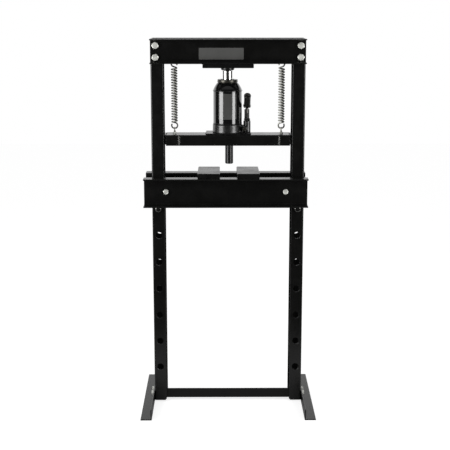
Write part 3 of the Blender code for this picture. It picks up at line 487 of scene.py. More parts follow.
def hexed(flats: float, low: float, high: float, both: bool, bore: float = 0.0) -> bmesh.types.BMesh:
    """A hexagon head or nut about +Z whose corners are turned down to a cone.

    Args:
        flats: Width across flats.
        low: Lower end.
        high: Upper end.
        both: Whether both ends are turned down, as on a nut.
        bore: Radius of the hole, or 0 for a head.

    Returns:
        The hexagon.
    """
    step = math.pi / 3
    corner = flats / math.sqrt(3)
    circle = flats * 0.485
    drop = (corner - flats / 2) * 0.58

    def radius_at(height: float) -> Callable[[float], float]:
        """The radius at each angle for a ring at this height.

        Args:
            height: The ring's height.

        Returns:
            The radius by angle.
        """
        near = min(high - height, height - low) if both else high - height
        cone = circle + max(near, 0) * (corner - circle) / drop
        return lambda angle: min(flats / 2 / math.cos((angle + step / 2) % step - step / 2), cone)

    shares = [0, 0.15, 0.3, 0.45, 0.6, 0.8, 1]
    heights = [low + drop * share for share in shares] if both else [low]
    heights += [high - drop * (1 - share) for share in shares]
    rings = [ring_of(1, height, HEX_SIDES, radius_at(height)) for height in heights]
    face, rim, dish = flats * 0.42, high + 0.0002, high - 0.0001
    ends = ((bore, high), (bore, low)) if bore else ((face, rim), (face * 0.97, rim), (face * 0.9, dish))
    return loft(rings + [ring_of(radius, height, HEX_SIDES) for radius, height in ends], loop=bool(bore))


def threaded(radius: float, pitch: float, low: float, high: float, sides: int = 24) -> bmesh.types.BMesh:
    """A screw thread about +Z, from low to high, with a broken end at the top.

    Args:
        radius: Its outer radius.
        pitch: Its pitch.
        low: Its lower end.
        high: Its upper end.
        sides: Facets round it.

    Returns:
        The threaded rod.
    """
    rows_in_a_turn, depth, tip, steepness = 6, 0.54 * pitch, 0.78, 1.4
    rows = max(4, round((high - low) / pitch * rows_in_a_turn))

    def radius_at(height: float) -> Callable[[float], float]:
        """The thread's radius by angle at a height."""
        taper = min(1.0, (high - height) / radius * steepness + tip)
        return lambda angle: taper * (
            radius - depth * abs(2 * ((height / pitch - angle / math.tau) % 1.0) - 1))

    heights = [low + (high - low) * i / rows for i in range(rows + 1)]
    return loft([ring_of(1, height, sides, radius_at(height)) for height in heights])


def smooth_path(points: Sequence[Vector], steps: int) -> list[Vector]:
    """A Catmull-Rom curve through points.

    Args:
        points: The points.
        steps: Segments between each two of them.

    Returns:
        The curve's points.
    """
    path: list[Vector] = []
    padded = [points[0] * 2 - points[1], *points, points[-1] * 2 - points[-2]]
    for p0, p1, p2, p3 in zip(padded, padded[1:], padded[2:], padded[3:]):
        for k in range(steps):
            t = k / steps
            path.append(0.5 * ((2 * p1) + (p2 - p0) * t + (2 * p0 - 5 * p1 + 4 * p2 - p3) * t * t
                               + (3 * p1 - p0 - 3 * p2 + p3) * t ** 3))
    path.append(points[-1])
    return path


def wire(path: Sequence[Vector], radius: float, sides: int = 12) -> bmesh.types.BMesh:
    """A round wire along a path, with domed ends.

    Args:
        path: The points along its middle.
        radius: Its radius.
        sides: Facets round it.

    Returns:
        The wire.
    """
    dome = 0.7
    rings: list[Ring] = []
    normal = Vector((0, 1, 0)) if abs((path[1] - path[0]).normalized().y) < 0.9 else Vector((1, 0, 0))
    last = len(path) - 1
    for i, point in enumerate(path):
        along = (path[min(i + 1, last)] - path[max(i - 1, 0)]).normalized()
        normal = (normal - along * normal.dot(along)).normalized()
        side = along.cross(normal)
        rings.append([point + (normal * math.cos(a) + side * math.sin(a)) * radius
                      for a in (math.tau * k / sides for k in range(sides))])
    tips = []
    for end, inner in ((0, 1), (-1, -2)):
        ring, point = rings[end], path[end]
        out = (point - path[inner]).normalized() * radius
        tips.append([[point + (p - point) * dome + out * dome for p in ring], [point + out]])
    rings = [tips[0][1], tips[0][0], *rings, tips[1][0], tips[1][1]]
    return loft(rings)


def weld_bead(start: Sequence[float], end: Sequence[float], out: Sequence[float], width: float, height: float,
              wander: float = 0.0) -> bmesh.types.BMesh:
    """A weld bead of overlapping ripples along a line.

    Args:
        start: Where it starts.
        end: Where it ends.
        out: The direction that it stands proud in.
        width: Its width.
        height: How far it stands proud.
        wander: How far it weaves to each side.

    Returns:
        The bead.
    """
    start, out = Vector(start), Vector(out)
    run = Vector(end) - start
    along, length = run.normalized(), run.length
    across = along.cross(out).normalized()
    spacing, rows_in_a_ripple, sides = 0.45 * width, 5, 14
    trough, blunt, steepness, sunk, lean = 0.80, 0.25, 6, 0.2, 0.105 * width
    ripples = max(3, round(length / spacing))
    rows = ripples * rows_in_a_ripple
    rings: list[Ring] = []
    for i in range(rows + 1):
        share = i / rows
        phase = share * ripples
        size = trough + (1 - trough) * abs(math.sin(math.pi * phase))
        size *= min(1.0, steepness * share + blunt, steepness * (1 - share) + blunt)
        size *= 1 + 0.10 * math.sin(phase * 2.3) + 0.06 * math.sin(phase * 5.1 + 1)
        centre = start + along * (length * share) + across * (wander * math.sin(phase * 1.9))
        rings.append([
            centre + across * (math.cos(a) * width / 2 * size)
            + out * (math.sin(a) * height * size * (1.0 if math.sin(a) > 0 else sunk))
            - along * (lean * max(math.sin(a), 0) * (phase % 1.0))
            for a in (math.tau * k / sides for k in range(sides))
        ])
    return loft(rings)


# ---------------------------------------------------------------- shader effects


NODES_IN_A_ROW = 8
NODE_WIDTH = 220
NODE_HEIGHT = 260


class Sheet:
    """A node tree with short calls for adding and joining nodes."""

    def __init__(self, tree: bpy.types.NodeTree) -> None:
        """Starts on a tree, which is emptied."""
        tree.nodes.clear()
        self.tree, self.count = tree, 0

    def add(self, kind: str, inputs: dict | None = None, **settings: object) -> bpy.types.Node:
        """Adds a node.

        Args:
            kind: The node's type.
            inputs: Values or sockets by input name or index.
            settings: The node's own properties.

        Returns:
            The node.
        """
        node = self.tree.nodes.new(kind)
        row, column = divmod(self.count, NODES_IN_A_ROW)
        node.location = (NODE_WIDTH * column, -NODE_HEIGHT * row)
        self.count += 1
        for key, value in settings.items():
            setattr(node, key, value)
        for key, value in (inputs or {}).items():
            if isinstance(value, bpy.types.NodeSocket):
                self.tree.links.new(value, node.inputs[key])
            else:
                node.inputs[key].default_value = value
        return node

    def math(self, operation: str, *values: object, clamp: bool = False) -> bpy.types.NodeSocket:
        """The result of a Math node."""
        made = self.add("ShaderNodeMath", dict(enumerate(values)), operation=operation, use_clamp=clamp)
        return made.outputs[0]

    def ramp(self, value: object, low: float, high: float, out_low: object = 0.0,
             out_high: object = 1.0) -> bpy.types.NodeSocket:
        """A value eased from one range to another."""
        inputs = {"Value": value, "From Min": low, "From Max": high, "To Min": out_low, "To Max": out_high}
        return self.add("ShaderNodeMapRange", inputs, interpolation_type="SMOOTHSTEP").outputs[0]

    def noise(self, vector: object, scale: object, detail: float = 2.0,
              roughness: float = 0.5) -> bpy.types.NodeSocket:
        """The value of a noise texture."""
        inputs = {"Vector": vector, "Scale": scale, "Detail": detail, "Roughness": roughness}
        return self.add("ShaderNodeTexNoise", inputs).outputs[0]

    def effect(self, tree: bpy.types.NodeTree, inputs: dict) -> bpy.types.Node:
        """Adds a node for one of the shader groups below."""
        return self.add("ShaderNodeGroup", inputs, node_tree=tree)

    def blended(self, share: object, low: object, high: object) -> bpy.types.NodeSocket:
        """The colour between two others at a share."""
        return self.add("ShaderNodeMix", {0: share, 6: low, 7: high}, data_type="RGBA").outputs[2]


Fill = Callable[[Sheet, bpy.types.Node], dict[str, object]]


def shader_group(takes: dict[str, float | Triple | None],
                 gives: Sequence[str]) -> Callable[[Fill], Callable[[], bpy.types.NodeTree]]:
    """Turns a function that fills a node tree into one that gives the filled shader group, made once.

    Args:
        takes: Input names with their defaults. None or three numbers make a vector, one number a value.
        gives: Names of the outputs, which are all values.

    Returns:
        The decorator.
    """
    def decorate(fill: Fill) -> Callable[[], bpy.types.NodeTree]:
        """Gives the group its function's name.

        Args:
            fill: Builds the nodes and returns the socket for each output.

        Returns:
            A function that gives the group's node tree.
        """
        @wraps(fill)
        def given() -> bpy.types.NodeTree:
            """Fills the group when it is first asked for.

            Returns:
                The group's node tree.
            """
            made = bpy.data.node_groups.get(fill.__name__)
            if made:
                return made
            made = bpy.data.node_groups.new(fill.__name__, "ShaderNodeTree")
            for label, value in takes.items():
                kind = "NodeSocketFloat" if isinstance(value, float) else "NodeSocketVector"
                socket = made.interface.new_socket(name=label, in_out="INPUT", socket_type=kind)
                if value is not None:
                    socket.default_value = value
            for label in gives:
                made.interface.new_socket(name=label, in_out="OUTPUT", socket_type="NodeSocketFloat")
            sheet = Sheet(made)
            source = sheet.add("NodeGroupInput")
            sheet.add("NodeGroupOutput", fill(sheet, source))
            return made

        return given

    return decorate


@shader_group({"Vector": None, "Scale": 700.0}, ("Height", "Mottle"))
def coat_grain(sheet: Sheet, source: bpy.types.Node) -> dict[str, object]:
    """Fine unevenness of a sprayed or baked coat: its height, and a mottle for colour and gloss.

    Two sizes of noise for the height and a broad one for the mottle.

    Args:
        sheet: The group's tree.
        source: Its input node.

    Returns:
        The socket for each output.
    """
    where, scale = source.outputs["Vector"], source.outputs["Scale"]
    peel = sheet.noise(where, scale, 2.0, 0.45)
    fine = sheet.noise(where, sheet.math("MULTIPLY", scale, 4.1), 1.0)
    height = sheet.math("ADD", peel, sheet.math("MULTIPLY", fine, 0.35))
    broad = sheet.noise(where, sheet.math("MULTIPLY", scale, 0.035), 4.0, 0.6)
    return {"Height": height, "Mottle": sheet.ramp(broad, 0.3, 0.7)}


@shader_group({"Vector": None, "Scale": 300.0, "Marks": (1.0, 1.0, 1.0)}, ("Height", "Mottle"))
def tool_grain(sheet: Sheet, source: bpy.types.Node) -> dict[str, object]:
    """Fine marks left by turning, grinding or drawing, as noise squeezed across them.

    Args:
        sheet: The group's tree.
        source: Its input node.

    Returns:
        The socket for each output.
    """
    where = source.outputs["Vector"]
    squeezed = sheet.add("ShaderNodeVectorMath", {0: where, 1: source.outputs["Marks"]},
                         operation="MULTIPLY").outputs[0]
    marks = sheet.noise(squeezed, source.outputs["Scale"], 3.0, 0.6)
    broad = sheet.noise(where, sheet.math("MULTIPLY", source.outputs["Scale"], 0.12), 3.0, 0.6)
    return {"Height": marks, "Mottle": sheet.ramp(broad, 0.32, 0.68)}


@shader_group({"Vector": None, "Scale": 160.0}, ("Height", "Mottle"))
def cast_grain(sheet: Sheet, source: bpy.types.Node) -> dict[str, object]:
    """The pebbled skin of a sand casting under paint, as lumps with small pits between them.

    Args:
        sheet: The group's tree.
        source: Its input node.

    Returns:
        The socket for each output.
    """
    where, scale = source.outputs["Vector"], source.outputs["Scale"]
    lumps = sheet.noise(where, scale, 5.0, 0.6)
    finer = sheet.math("MULTIPLY", scale, 1.9)
    cells = sheet.add("ShaderNodeTexVoronoi", {"Vector": where, "Scale": finer},
                      feature="F1").outputs["Distance"]
    height = sheet.math("ADD", lumps, sheet.math("MULTIPLY", cells, 0.30))
    broad = sheet.noise(where, sheet.math("MULTIPLY", scale, 0.15), 3.0)
    return {"Height": height, "Mottle": sheet.ramp(broad, 0.3, 0.7)}


@shader_group({"Vector": None, "Width": 0.0008, "Amount": 0.5}, ("Mask",))
def edge_wear(sheet: Sheet, source: bpy.types.Node) -> dict[str, object]:
    """A mask of the corners where a coat has rubbed thin.

    Where the rounded normal leaves the true one, broken up by noise.

    Args:
        sheet: The group's tree.
        source: Its input node.

    Returns:
        The socket for each output.
    """
    bent = sheet.add("ShaderNodeBevel", {"Radius": source.outputs["Width"]}, samples=4).outputs[0]
    flat = sheet.add("ShaderNodeNewGeometry").outputs["Normal"]
    alike = sheet.add("ShaderNodeVectorMath", {0: bent, 1: flat},
                      operation="DOT_PRODUCT").outputs["Value"]
    corner = sheet.ramp(alike, 0.995, 0.90)
    breakup = sheet.ramp(sheet.noise(source.outputs["Vector"], 170.0, 4.0, 0.65), 0.42, 0.66)
    patchy = sheet.math("MULTIPLY", corner, breakup)
    return {"Mask": sheet.math("MULTIPLY", patchy, source.outputs["Amount"], clamp=True)}


@shader_group({"Vector": None, "Axis": 0.2, "Amount": 1.0, "Side Shade": 0.0}, ("Mask",))
def coil_painted_shade(sheet: Sheet, source: bpy.types.Node) -> dict[str, object]:
    """A mask of painted shade on a spring wire: its faces that look in toward the coil's axis, where the coil
    shades itself, and its faces that look to +X.

    How far the normal points back to the nearer of the two axes, at plus and minus the given place.

    Args:
        sheet: The group's tree.
        source: Its input node.

    Returns:
        The socket for each output.
    """
    parts = sheet.add("ShaderNodeSeparateXYZ", {0: source.outputs["Vector"]})
    x = sheet.math("SUBTRACT", sheet.math("ABSOLUTE", parts.outputs[0]), source.outputs["Axis"])
    across = sheet.math("MULTIPLY", x, sheet.math("SIGN", parts.outputs[0]))
    out = sheet.add("ShaderNodeCombineXYZ", {0: across, 1: parts.outputs[1]}).outputs[0]
    radial = sheet.add("ShaderNodeVectorMath", {0: out}, operation="NORMALIZE").outputs[0]
    normal = sheet.add("ShaderNodeNewGeometry").outputs["Normal"]
    facing = sheet.add("ShaderNodeVectorMath", {0: radial, 1: normal},
                       operation="DOT_PRODUCT").outputs["Value"]
    # Painted shade on faces that look back toward the coil's axis, where the far side of the coil lies in
    # shadow.
    inner_shade = sheet.math("MULTIPLY", sheet.ramp(facing, 0.50, -0.05), source.outputs["Amount"], clamp=True)
    side = sheet.add("ShaderNodeSeparateXYZ", {0: radial}).outputs[0]
    # Painted shade: faces that look to +X are darkened, standing in for the side that the light reaches less.
    side_shaded = sheet.math("MULTIPLY", sheet.ramp(side, 0.05, 0.75), source.outputs["Side Shade"], clamp=True)
    return {"Mask": sheet.math("MAXIMUM", inner_shade, side_shaded)}


@shader_group({"Vector": None, "Amount": 0.3}, ("Mask",))
def dust_film(sheet: Sheet, source: bpy.types.Node) -> dict[str, object]:
    """A thin uneven film of dust on faces that look up.

    The upward share of the normal, broken up by noise.

    Args:
        sheet: The group's tree.
        source: Its input node.

    Returns:
        The socket for each output.
    """
    normal = sheet.add("ShaderNodeNewGeometry").outputs["Normal"]
    up = sheet.add("ShaderNodeSeparateXYZ", {0: normal}).outputs[2]
    cloud = sheet.noise(source.outputs["Vector"], 14.0, 6.0, 0.62)
    mask = sheet.math("MULTIPLY", sheet.ramp(up, 0.55, 0.98), sheet.ramp(cloud, 0.30, 0.80))
    return {"Mask": sheet.math("MULTIPLY", mask, source.outputs["Amount"], clamp=True)}


# ---------------------------------------------------------------- finishes


# Near-black colour painted onto spring wire as shade inside the coil and on its +X side.
PAINTED_SHADE_COLOUR = (0.012, 0.012, 0.011)
DUST_COLOUR = (0.24, 0.235, 0.225)
DUST_ROUGHNESS = 0.5


class Grain(Enum):
    """What a surface's fine texture comes from."""

    COAT = "coat"
    TOOL = "tool"
    CAST = "cast"

    def tree(self) -> bpy.types.NodeTree:
        """The shader group for this grain, made once."""
        return {Grain.COAT: coat_grain, Grain.TOOL: tool_grain, Grain.CAST: cast_grain}[self]()


@dataclass(frozen=True)
class Finish:
    """One finish of the press, and how its surface varies."""

    name: str
    slot: str
    colour: Triple
    light: Triple
    roughness: tuple[float, float]
    metallic: float = 0.0
    ior: float = 1.5
    coat: float = 0.0
    coat_roughness: float = 0.03
    grain: Grain = Grain.COAT
    grain_scale: float = 700.0
    marks: Triple = (1.0, 1.0, 1.0)
    depth: float = 0.00002
    wear: float = 0.0
    wear_width: float = 0.0008
    wear_colour: Triple = (0.10, 0.10, 0.10)
    dust: float = 0.0
    # Painted shade on spring wire: shade darkens faces that look toward the coil's axis at shade_axis, and
    # the side amount below darkens faces that look to +X.
    shade: float = 0.0
    shade_axis: float = 0.0
    side_shade: float = 0.0

    def material(self) -> bpy.types.Material:
        """The finish's material, made once.

        Returns:
            The material.
        """
        made = bpy.data.materials.get(self.name)
        if made:
            return made
        made = bpy.data.materials.new(self.name)
        made.use_nodes = True
        sheet = Sheet(made.node_tree)
        where = {"Vector": sheet.add("ShaderNodeTexCoord").outputs["Object"]}
        marks = {"Marks": self.marks} if self.grain is Grain.TOOL else {}
        grain = sheet.effect(self.grain.tree(), {**where, "Scale": self.grain_scale, **marks}).outputs
        colour = sheet.blended(grain["Mottle"], (*self.colour, 1), (*self.light, 1))
        roughness = sheet.ramp(grain["Mottle"], 0.0, 1.0, *self.roughness)
        if self.wear:
            worn = sheet.effect(edge_wear(), {**where, "Width": self.wear_width, "Amount": self.wear})
            colour = sheet.blended(worn.outputs["Mask"], colour, (*self.wear_colour, 1))
        # Painted shade: the spring wire darkens toward a near-black colour on faces that look into the coil
        # and, by the side amount, on faces that look to +X.
        if self.shade:
            wire_shade = sheet.effect(coil_painted_shade(), {**where, "Axis": self.shade_axis, "Amount": self.shade,
                                                  "Side Shade": self.side_shade})
            colour = sheet.blended(wire_shade.outputs["Mask"], colour, (*PAINTED_SHADE_COLOUR, 1))
        if self.dust:
            film = sheet.effect(dust_film(), {**where, "Amount": self.dust}).outputs["Mask"]
            colour = sheet.blended(film, colour, (*DUST_COLOUR, 1))
            roughness = sheet.math("ADD", roughness, sheet.math("MULTIPLY", film, DUST_ROUGHNESS), clamp=True)
        bump = sheet.add("ShaderNodeBump", {"Height": grain["Height"], "Distance": self.depth,
                                            "Strength": 1.0})
        shader = sheet.add("ShaderNodeBsdfPrincipled", {
            "Base Color": colour, "Roughness": roughness, "Metallic": self.metallic, "IOR": self.ior,
            "Coat Weight": self.coat, "Coat Roughness": self.coat_roughness, "Normal": bump.outputs[0],
        })
        sheet.add("ShaderNodeOutputMaterial", {"Surface": shader.outputs[0]})
        made.diffuse_color = (*self.colour, 1)
        return made


POWDER_COAT = Finish("powder_coat", "frame_paint", (0.0026, 0.0026, 0.0024), (0.0033, 0.0033, 0.0030),
                     (0.22, 0.27), grain_scale=620.0, depth=0.000012, wear=0.25, dust=0.02)
CROSSBAR_COAT = replace(POWDER_COAT, name="crossbar_coat", roughness=(0.34, 0.42), ior=1.36)
PLATE_COAT = Finish("plate_coat", "plate_paint", (0.0016, 0.0015, 0.0015), (0.0022, 0.0021, 0.0021),
                    (0.25, 0.32), grain_scale=480.0, depth=0.000012, wear=0.4, dust=0.02)
ZINC = Finish("zinc_plating", "zinc_plate", (0.80, 0.81, 0.76), (0.92, 0.93, 0.87), (0.26, 0.40),
              metallic=0.65, grain=Grain.TOOL, grain_scale=260.0, depth=0.00002, wear=0.3,
              wear_colour=(0.45, 0.45, 0.43))
# Spring wire with painted shade: darker inside the coil and on the side that looks to +X.
SPRING_ZINC = Finish("spring_zinc", "spring_steel", (0.50, 0.50, 0.45), (0.62, 0.62, 0.56), (0.30, 0.40),
                     metallic=0.65, grain=Grain.TOOL, grain_scale=420.0, depth=0.00001, shade=1.0,
                     shade_axis=0.214, side_shade=0.75)
BRIGHT_STEEL = Finish("bright_steel", "bright_steel", (0.42, 0.42, 0.40), (0.55, 0.55, 0.52), (0.22, 0.36),
                      metallic=1.0, grain=Grain.TOOL, grain_scale=500.0, marks=(1.0, 6.0, 1.0),
                      depth=0.000008)
BLACKED_STEEL = Finish("blacked_steel", "dark_steel", (0.010, 0.010, 0.010), (0.018, 0.018, 0.017),
                       (0.20, 0.30), metallic=0.3, grain=Grain.TOOL, grain_scale=350.0, marks=(1.0, 1.0, 9.0),
                       depth=0.00002, wear=0.5, wear_colour=(0.22, 0.22, 0.21))
CAST_BLACK = Finish("cast_black", "jack_casting", (0.0028, 0.0028, 0.0026), (0.0046, 0.0046, 0.0043),
                    (0.28, 0.40), coat=0.8, coat_roughness=0.19, grain=Grain.CAST, grain_scale=150.0,
                    depth=0.00085, wear=0.25, dust=0.04)
ENAMEL = Finish("tank_enamel", "jack_enamel", (0.0022, 0.0022, 0.0023), (0.0030, 0.0030, 0.0031),
                (0.10, 0.16), coat=1.0, coat_roughness=0.04, grain_scale=240.0, depth=0.000012, wear=0.2)
TURNED_STEEL = Finish("turned_steel", "machined_steel", (0.075, 0.072, 0.062), (0.12, 0.115, 0.10),
                      (0.22, 0.34), metallic=0.9, grain=Grain.TOOL, grain_scale=260.0,
                      marks=(0.3, 0.3, 12.0), depth=0.00003, wear=0.4, wear_colour=(0.5, 0.49, 0.46))
CHROME = Finish("hard_chrome", "hard_chrome", (0.52, 0.48, 0.44), (0.60, 0.57, 0.54), (0.08, 0.15),
                metallic=1.0, grain=Grain.TOOL, grain_scale=300.0, marks=(0.2, 0.2, 10.0), depth=0.000004)
PLUNGER = Finish("oiled_plunger", "hard_chrome", (0.085, 0.082, 0.078), (0.12, 0.115, 0.11), (0.12, 0.20),
                 metallic=1.0, grain=Grain.TOOL, grain_scale=300.0, marks=(0.2, 0.2, 8.0), depth=0.000006)
RUBBER = Finish("black_rubber", "black_rubber", (0.014, 0.014, 0.014), (0.024, 0.024, 0.023), (0.55, 0.72),
                grain=Grain.CAST, grain_scale=420.0, depth=0.00005)
BRIGHT_PIN = Finish("ground_pin", "bright_steel", (0.16, 0.16, 0.15), (0.24, 0.24, 0.23), (0.12, 0.17),
                    metallic=1.0, grain=Grain.TOOL, grain_scale=420.0, marks=(1.0, 5.0, 1.0), depth=0.000008)
BRIGHT_WELD = Finish("bare_weld", "zinc_plate", (0.22, 0.22, 0.21), (0.36, 0.36, 0.34), (0.30, 0.45),
                     metallic=0.8, grain=Grain.CAST, grain_scale=320.0, depth=0.00008)
STICKER = Finish("sticker_film", "frame_paint", (0.060, 0.060, 0.058), (0.072, 0.072, 0.069), (0.30, 0.40),
                 coat=0.3, coat_roughness=0.16, grain_scale=300.0, depth=0.000008)
TANK_STICKER = Finish("tank_sticker_film", "jack_enamel", (0.050, 0.050, 0.048), (0.060, 0.060, 0.058),
                      (0.14, 0.22), coat=1.0, coat_roughness=0.05, grain_scale=300.0, depth=0.000006)


def piece(name: str, shape: bmesh.types.BMesh, finish: Finish, body: str | tuple[str, str],
          nodes: Sequence[str] = (), angle: float = 35.0) -> bpy.types.Object:
    """Makes a piece of the press from a shape and hangs it on its body, if it has one.

    Args:
        name: The piece's name.
        shape: The shape in the press's frame, which is used up.
        finish: Its finish.
        body: The body that it rides on, or the two that it lies between, in which case it hangs on neither.
        nodes: The CAD nodes that it stands for.
        angle: Edges sharper than this, in degrees, stay crisp.

    Returns:
        The piece.
    """
    data = bpy.data.meshes.new(name)
    shape.to_mesh(data)
    shape.free()
    data.shade_smooth()
    data.set_sharp_from_angle(angle=math.radians(angle))
    data.materials.append(finish.material())
    made = bpy.data.objects.new(name, data)
    bpy.context.scene.collection.objects.link(made)
    shading = made.modifiers.new("even_shading", "WEIGHTED_NORMAL")
    shading.keep_sharp = True
    if isinstance(body, tuple):
        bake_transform(made)
    else:
        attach(made, body)
    if nodes:
        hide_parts(*nodes)
    log.info("%-26s %-18s %6d faces", name, finish.name, len(data.polygons))
    return made


def middle(node: str) -> Vector:
    """The centre of a CAD node's box."""
    low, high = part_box(node)
    return (low + high) / 2


def half_width(node: str) -> float:
    """Half of a CAD node's size along X, which is the radius of an upright round piece."""
    low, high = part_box(node)
    return (high.x - low.x) / 2


def rolled_channel(node: str, side: int, wall: float, fillet: float, body: str) -> None:
    """Builds one channel along X in place of its node, its web against the uprights.

    Args:
        node: The CAD node.
        side: 1 for the back, -1 for the front.
        wall: Its thickness.
        fillet: Its outer corner radius.
        body: The body that it rides on.
    """
    low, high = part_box(node)
    web, tip = (high.y, low.y) if side < 0 else (low.y, high.y)
    section = channel_outline(high.z - low.z, abs(tip - web), wall, fillet)
    outline = placed(section, web, (low.z + high.z) / 2, side)
    piece(f"{node}_rolled", prism(outline, Axis.X, low.x, high.x), POWDER_COAT, body, [node])


SIDES = (("left", -1), ("right", 1))
DEPTHS = (("front", -1), ("back", 1))
FLAT = 1e-4
SLANT = 0.7


@dataclass(frozen=True)
class Fastener:
    """A hexagon bolt with its washer and its nut, along one axis."""

    radius: float
    flats: float
    head: float
    pitch: float
    washer: float = 0.0016
    washer_share: float = 0.53
    thread_share: float = 0.6
    thread_limit: float = 0.034
    overlap: float = 0.0005
    nut_clearance: float = 0.0002
    crisp_above: float = 28.0

    def seat(self, node: str, axis: Axis, head_toward: int, spin: float) -> tuple[Matrix, float]:
        """The place of a fastener's own frame, whose +Z points to its head.

        Args:
            node: The CAD node that it stands for.
            axis: The axis it lies along.
            head_toward: Which way along the axis the head faces, 1 or -1.
            spin: How far it is turned, in degrees.

        Returns:
            The placing matrix, from the end away from the head, and the length.
        """
        low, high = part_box(node)
        index = "XYZ".index(axis.value)
        foot = middle(node)
        foot[index] = low[index] if head_toward > 0 else high[index]
        turn = axis.turn() if head_toward > 0 else axis.turn() @ Matrix.Rotation(math.pi, 4, "X")
        place = Matrix.Translation(foot) @ turn @ Matrix.Rotation(math.radians(spin), 4, "Z")
        return place, high[index] - low[index]

    def bolt(self, node: str, axis: Axis, head_toward: int, body: str, spin: float) -> None:
        """Builds the bolt with its washer and threaded end in place of its node.

        Args:
            node: The CAD node.
            axis: The axis it lies along.
            head_toward: Which way along the axis the head faces, 1 or -1.
            body: The body that it rides on.
            spin: How far it is turned, in degrees.
        """
        place, length = self.seat(node, axis, head_toward, spin)
        under = length - self.head - self.washer
        thread = min(under * self.thread_share, self.thread_limit)
        rim, seat = self.flats * self.washer_share, under + self.washer
        washer = [(0, under, 0), (rim, under, 0.0003), (rim, seat, 0.0005), (0, seat, 0)]
        plain, plain_length = (under + thread) / 2 - self.overlap, under - thread + 2 * self.overlap
        shape = joined([
            hexed(self.flats, seat, length - 0.0002, both=False),
            turned(rounded(washer, 3, closed=False)),
            bar((0, 0, plain), self.radius, plain_length, Axis.Z),
            moved(threaded(self.radius, self.pitch, 0, thread), upside_down((0, 0, thread))),
        ])
        piece(f"{node}_fitted", moved(shape, place), ZINC, body, [node], self.crisp_above)

    def nut(self, node: str, axis: Axis, head_toward: int, body: str, spin: float) -> None:
        """Builds the nut in place of its node.

        Args:
            node: The CAD node.
            axis: The axis it lies along.
            head_toward: Which way along the axis its outer face looks, 1 or -1.
            body: The body that it rides on.
            spin: How far it is turned, in degrees.
        """
        place, length = self.seat(node, axis, head_toward, spin)
        shape = hexed(self.flats, 0, length, both=True, bore=self.radius + self.nut_clearance)
        piece(f"{node}_fitted", moved(shape, place), ZINC, body, [node], self.crisp_above)


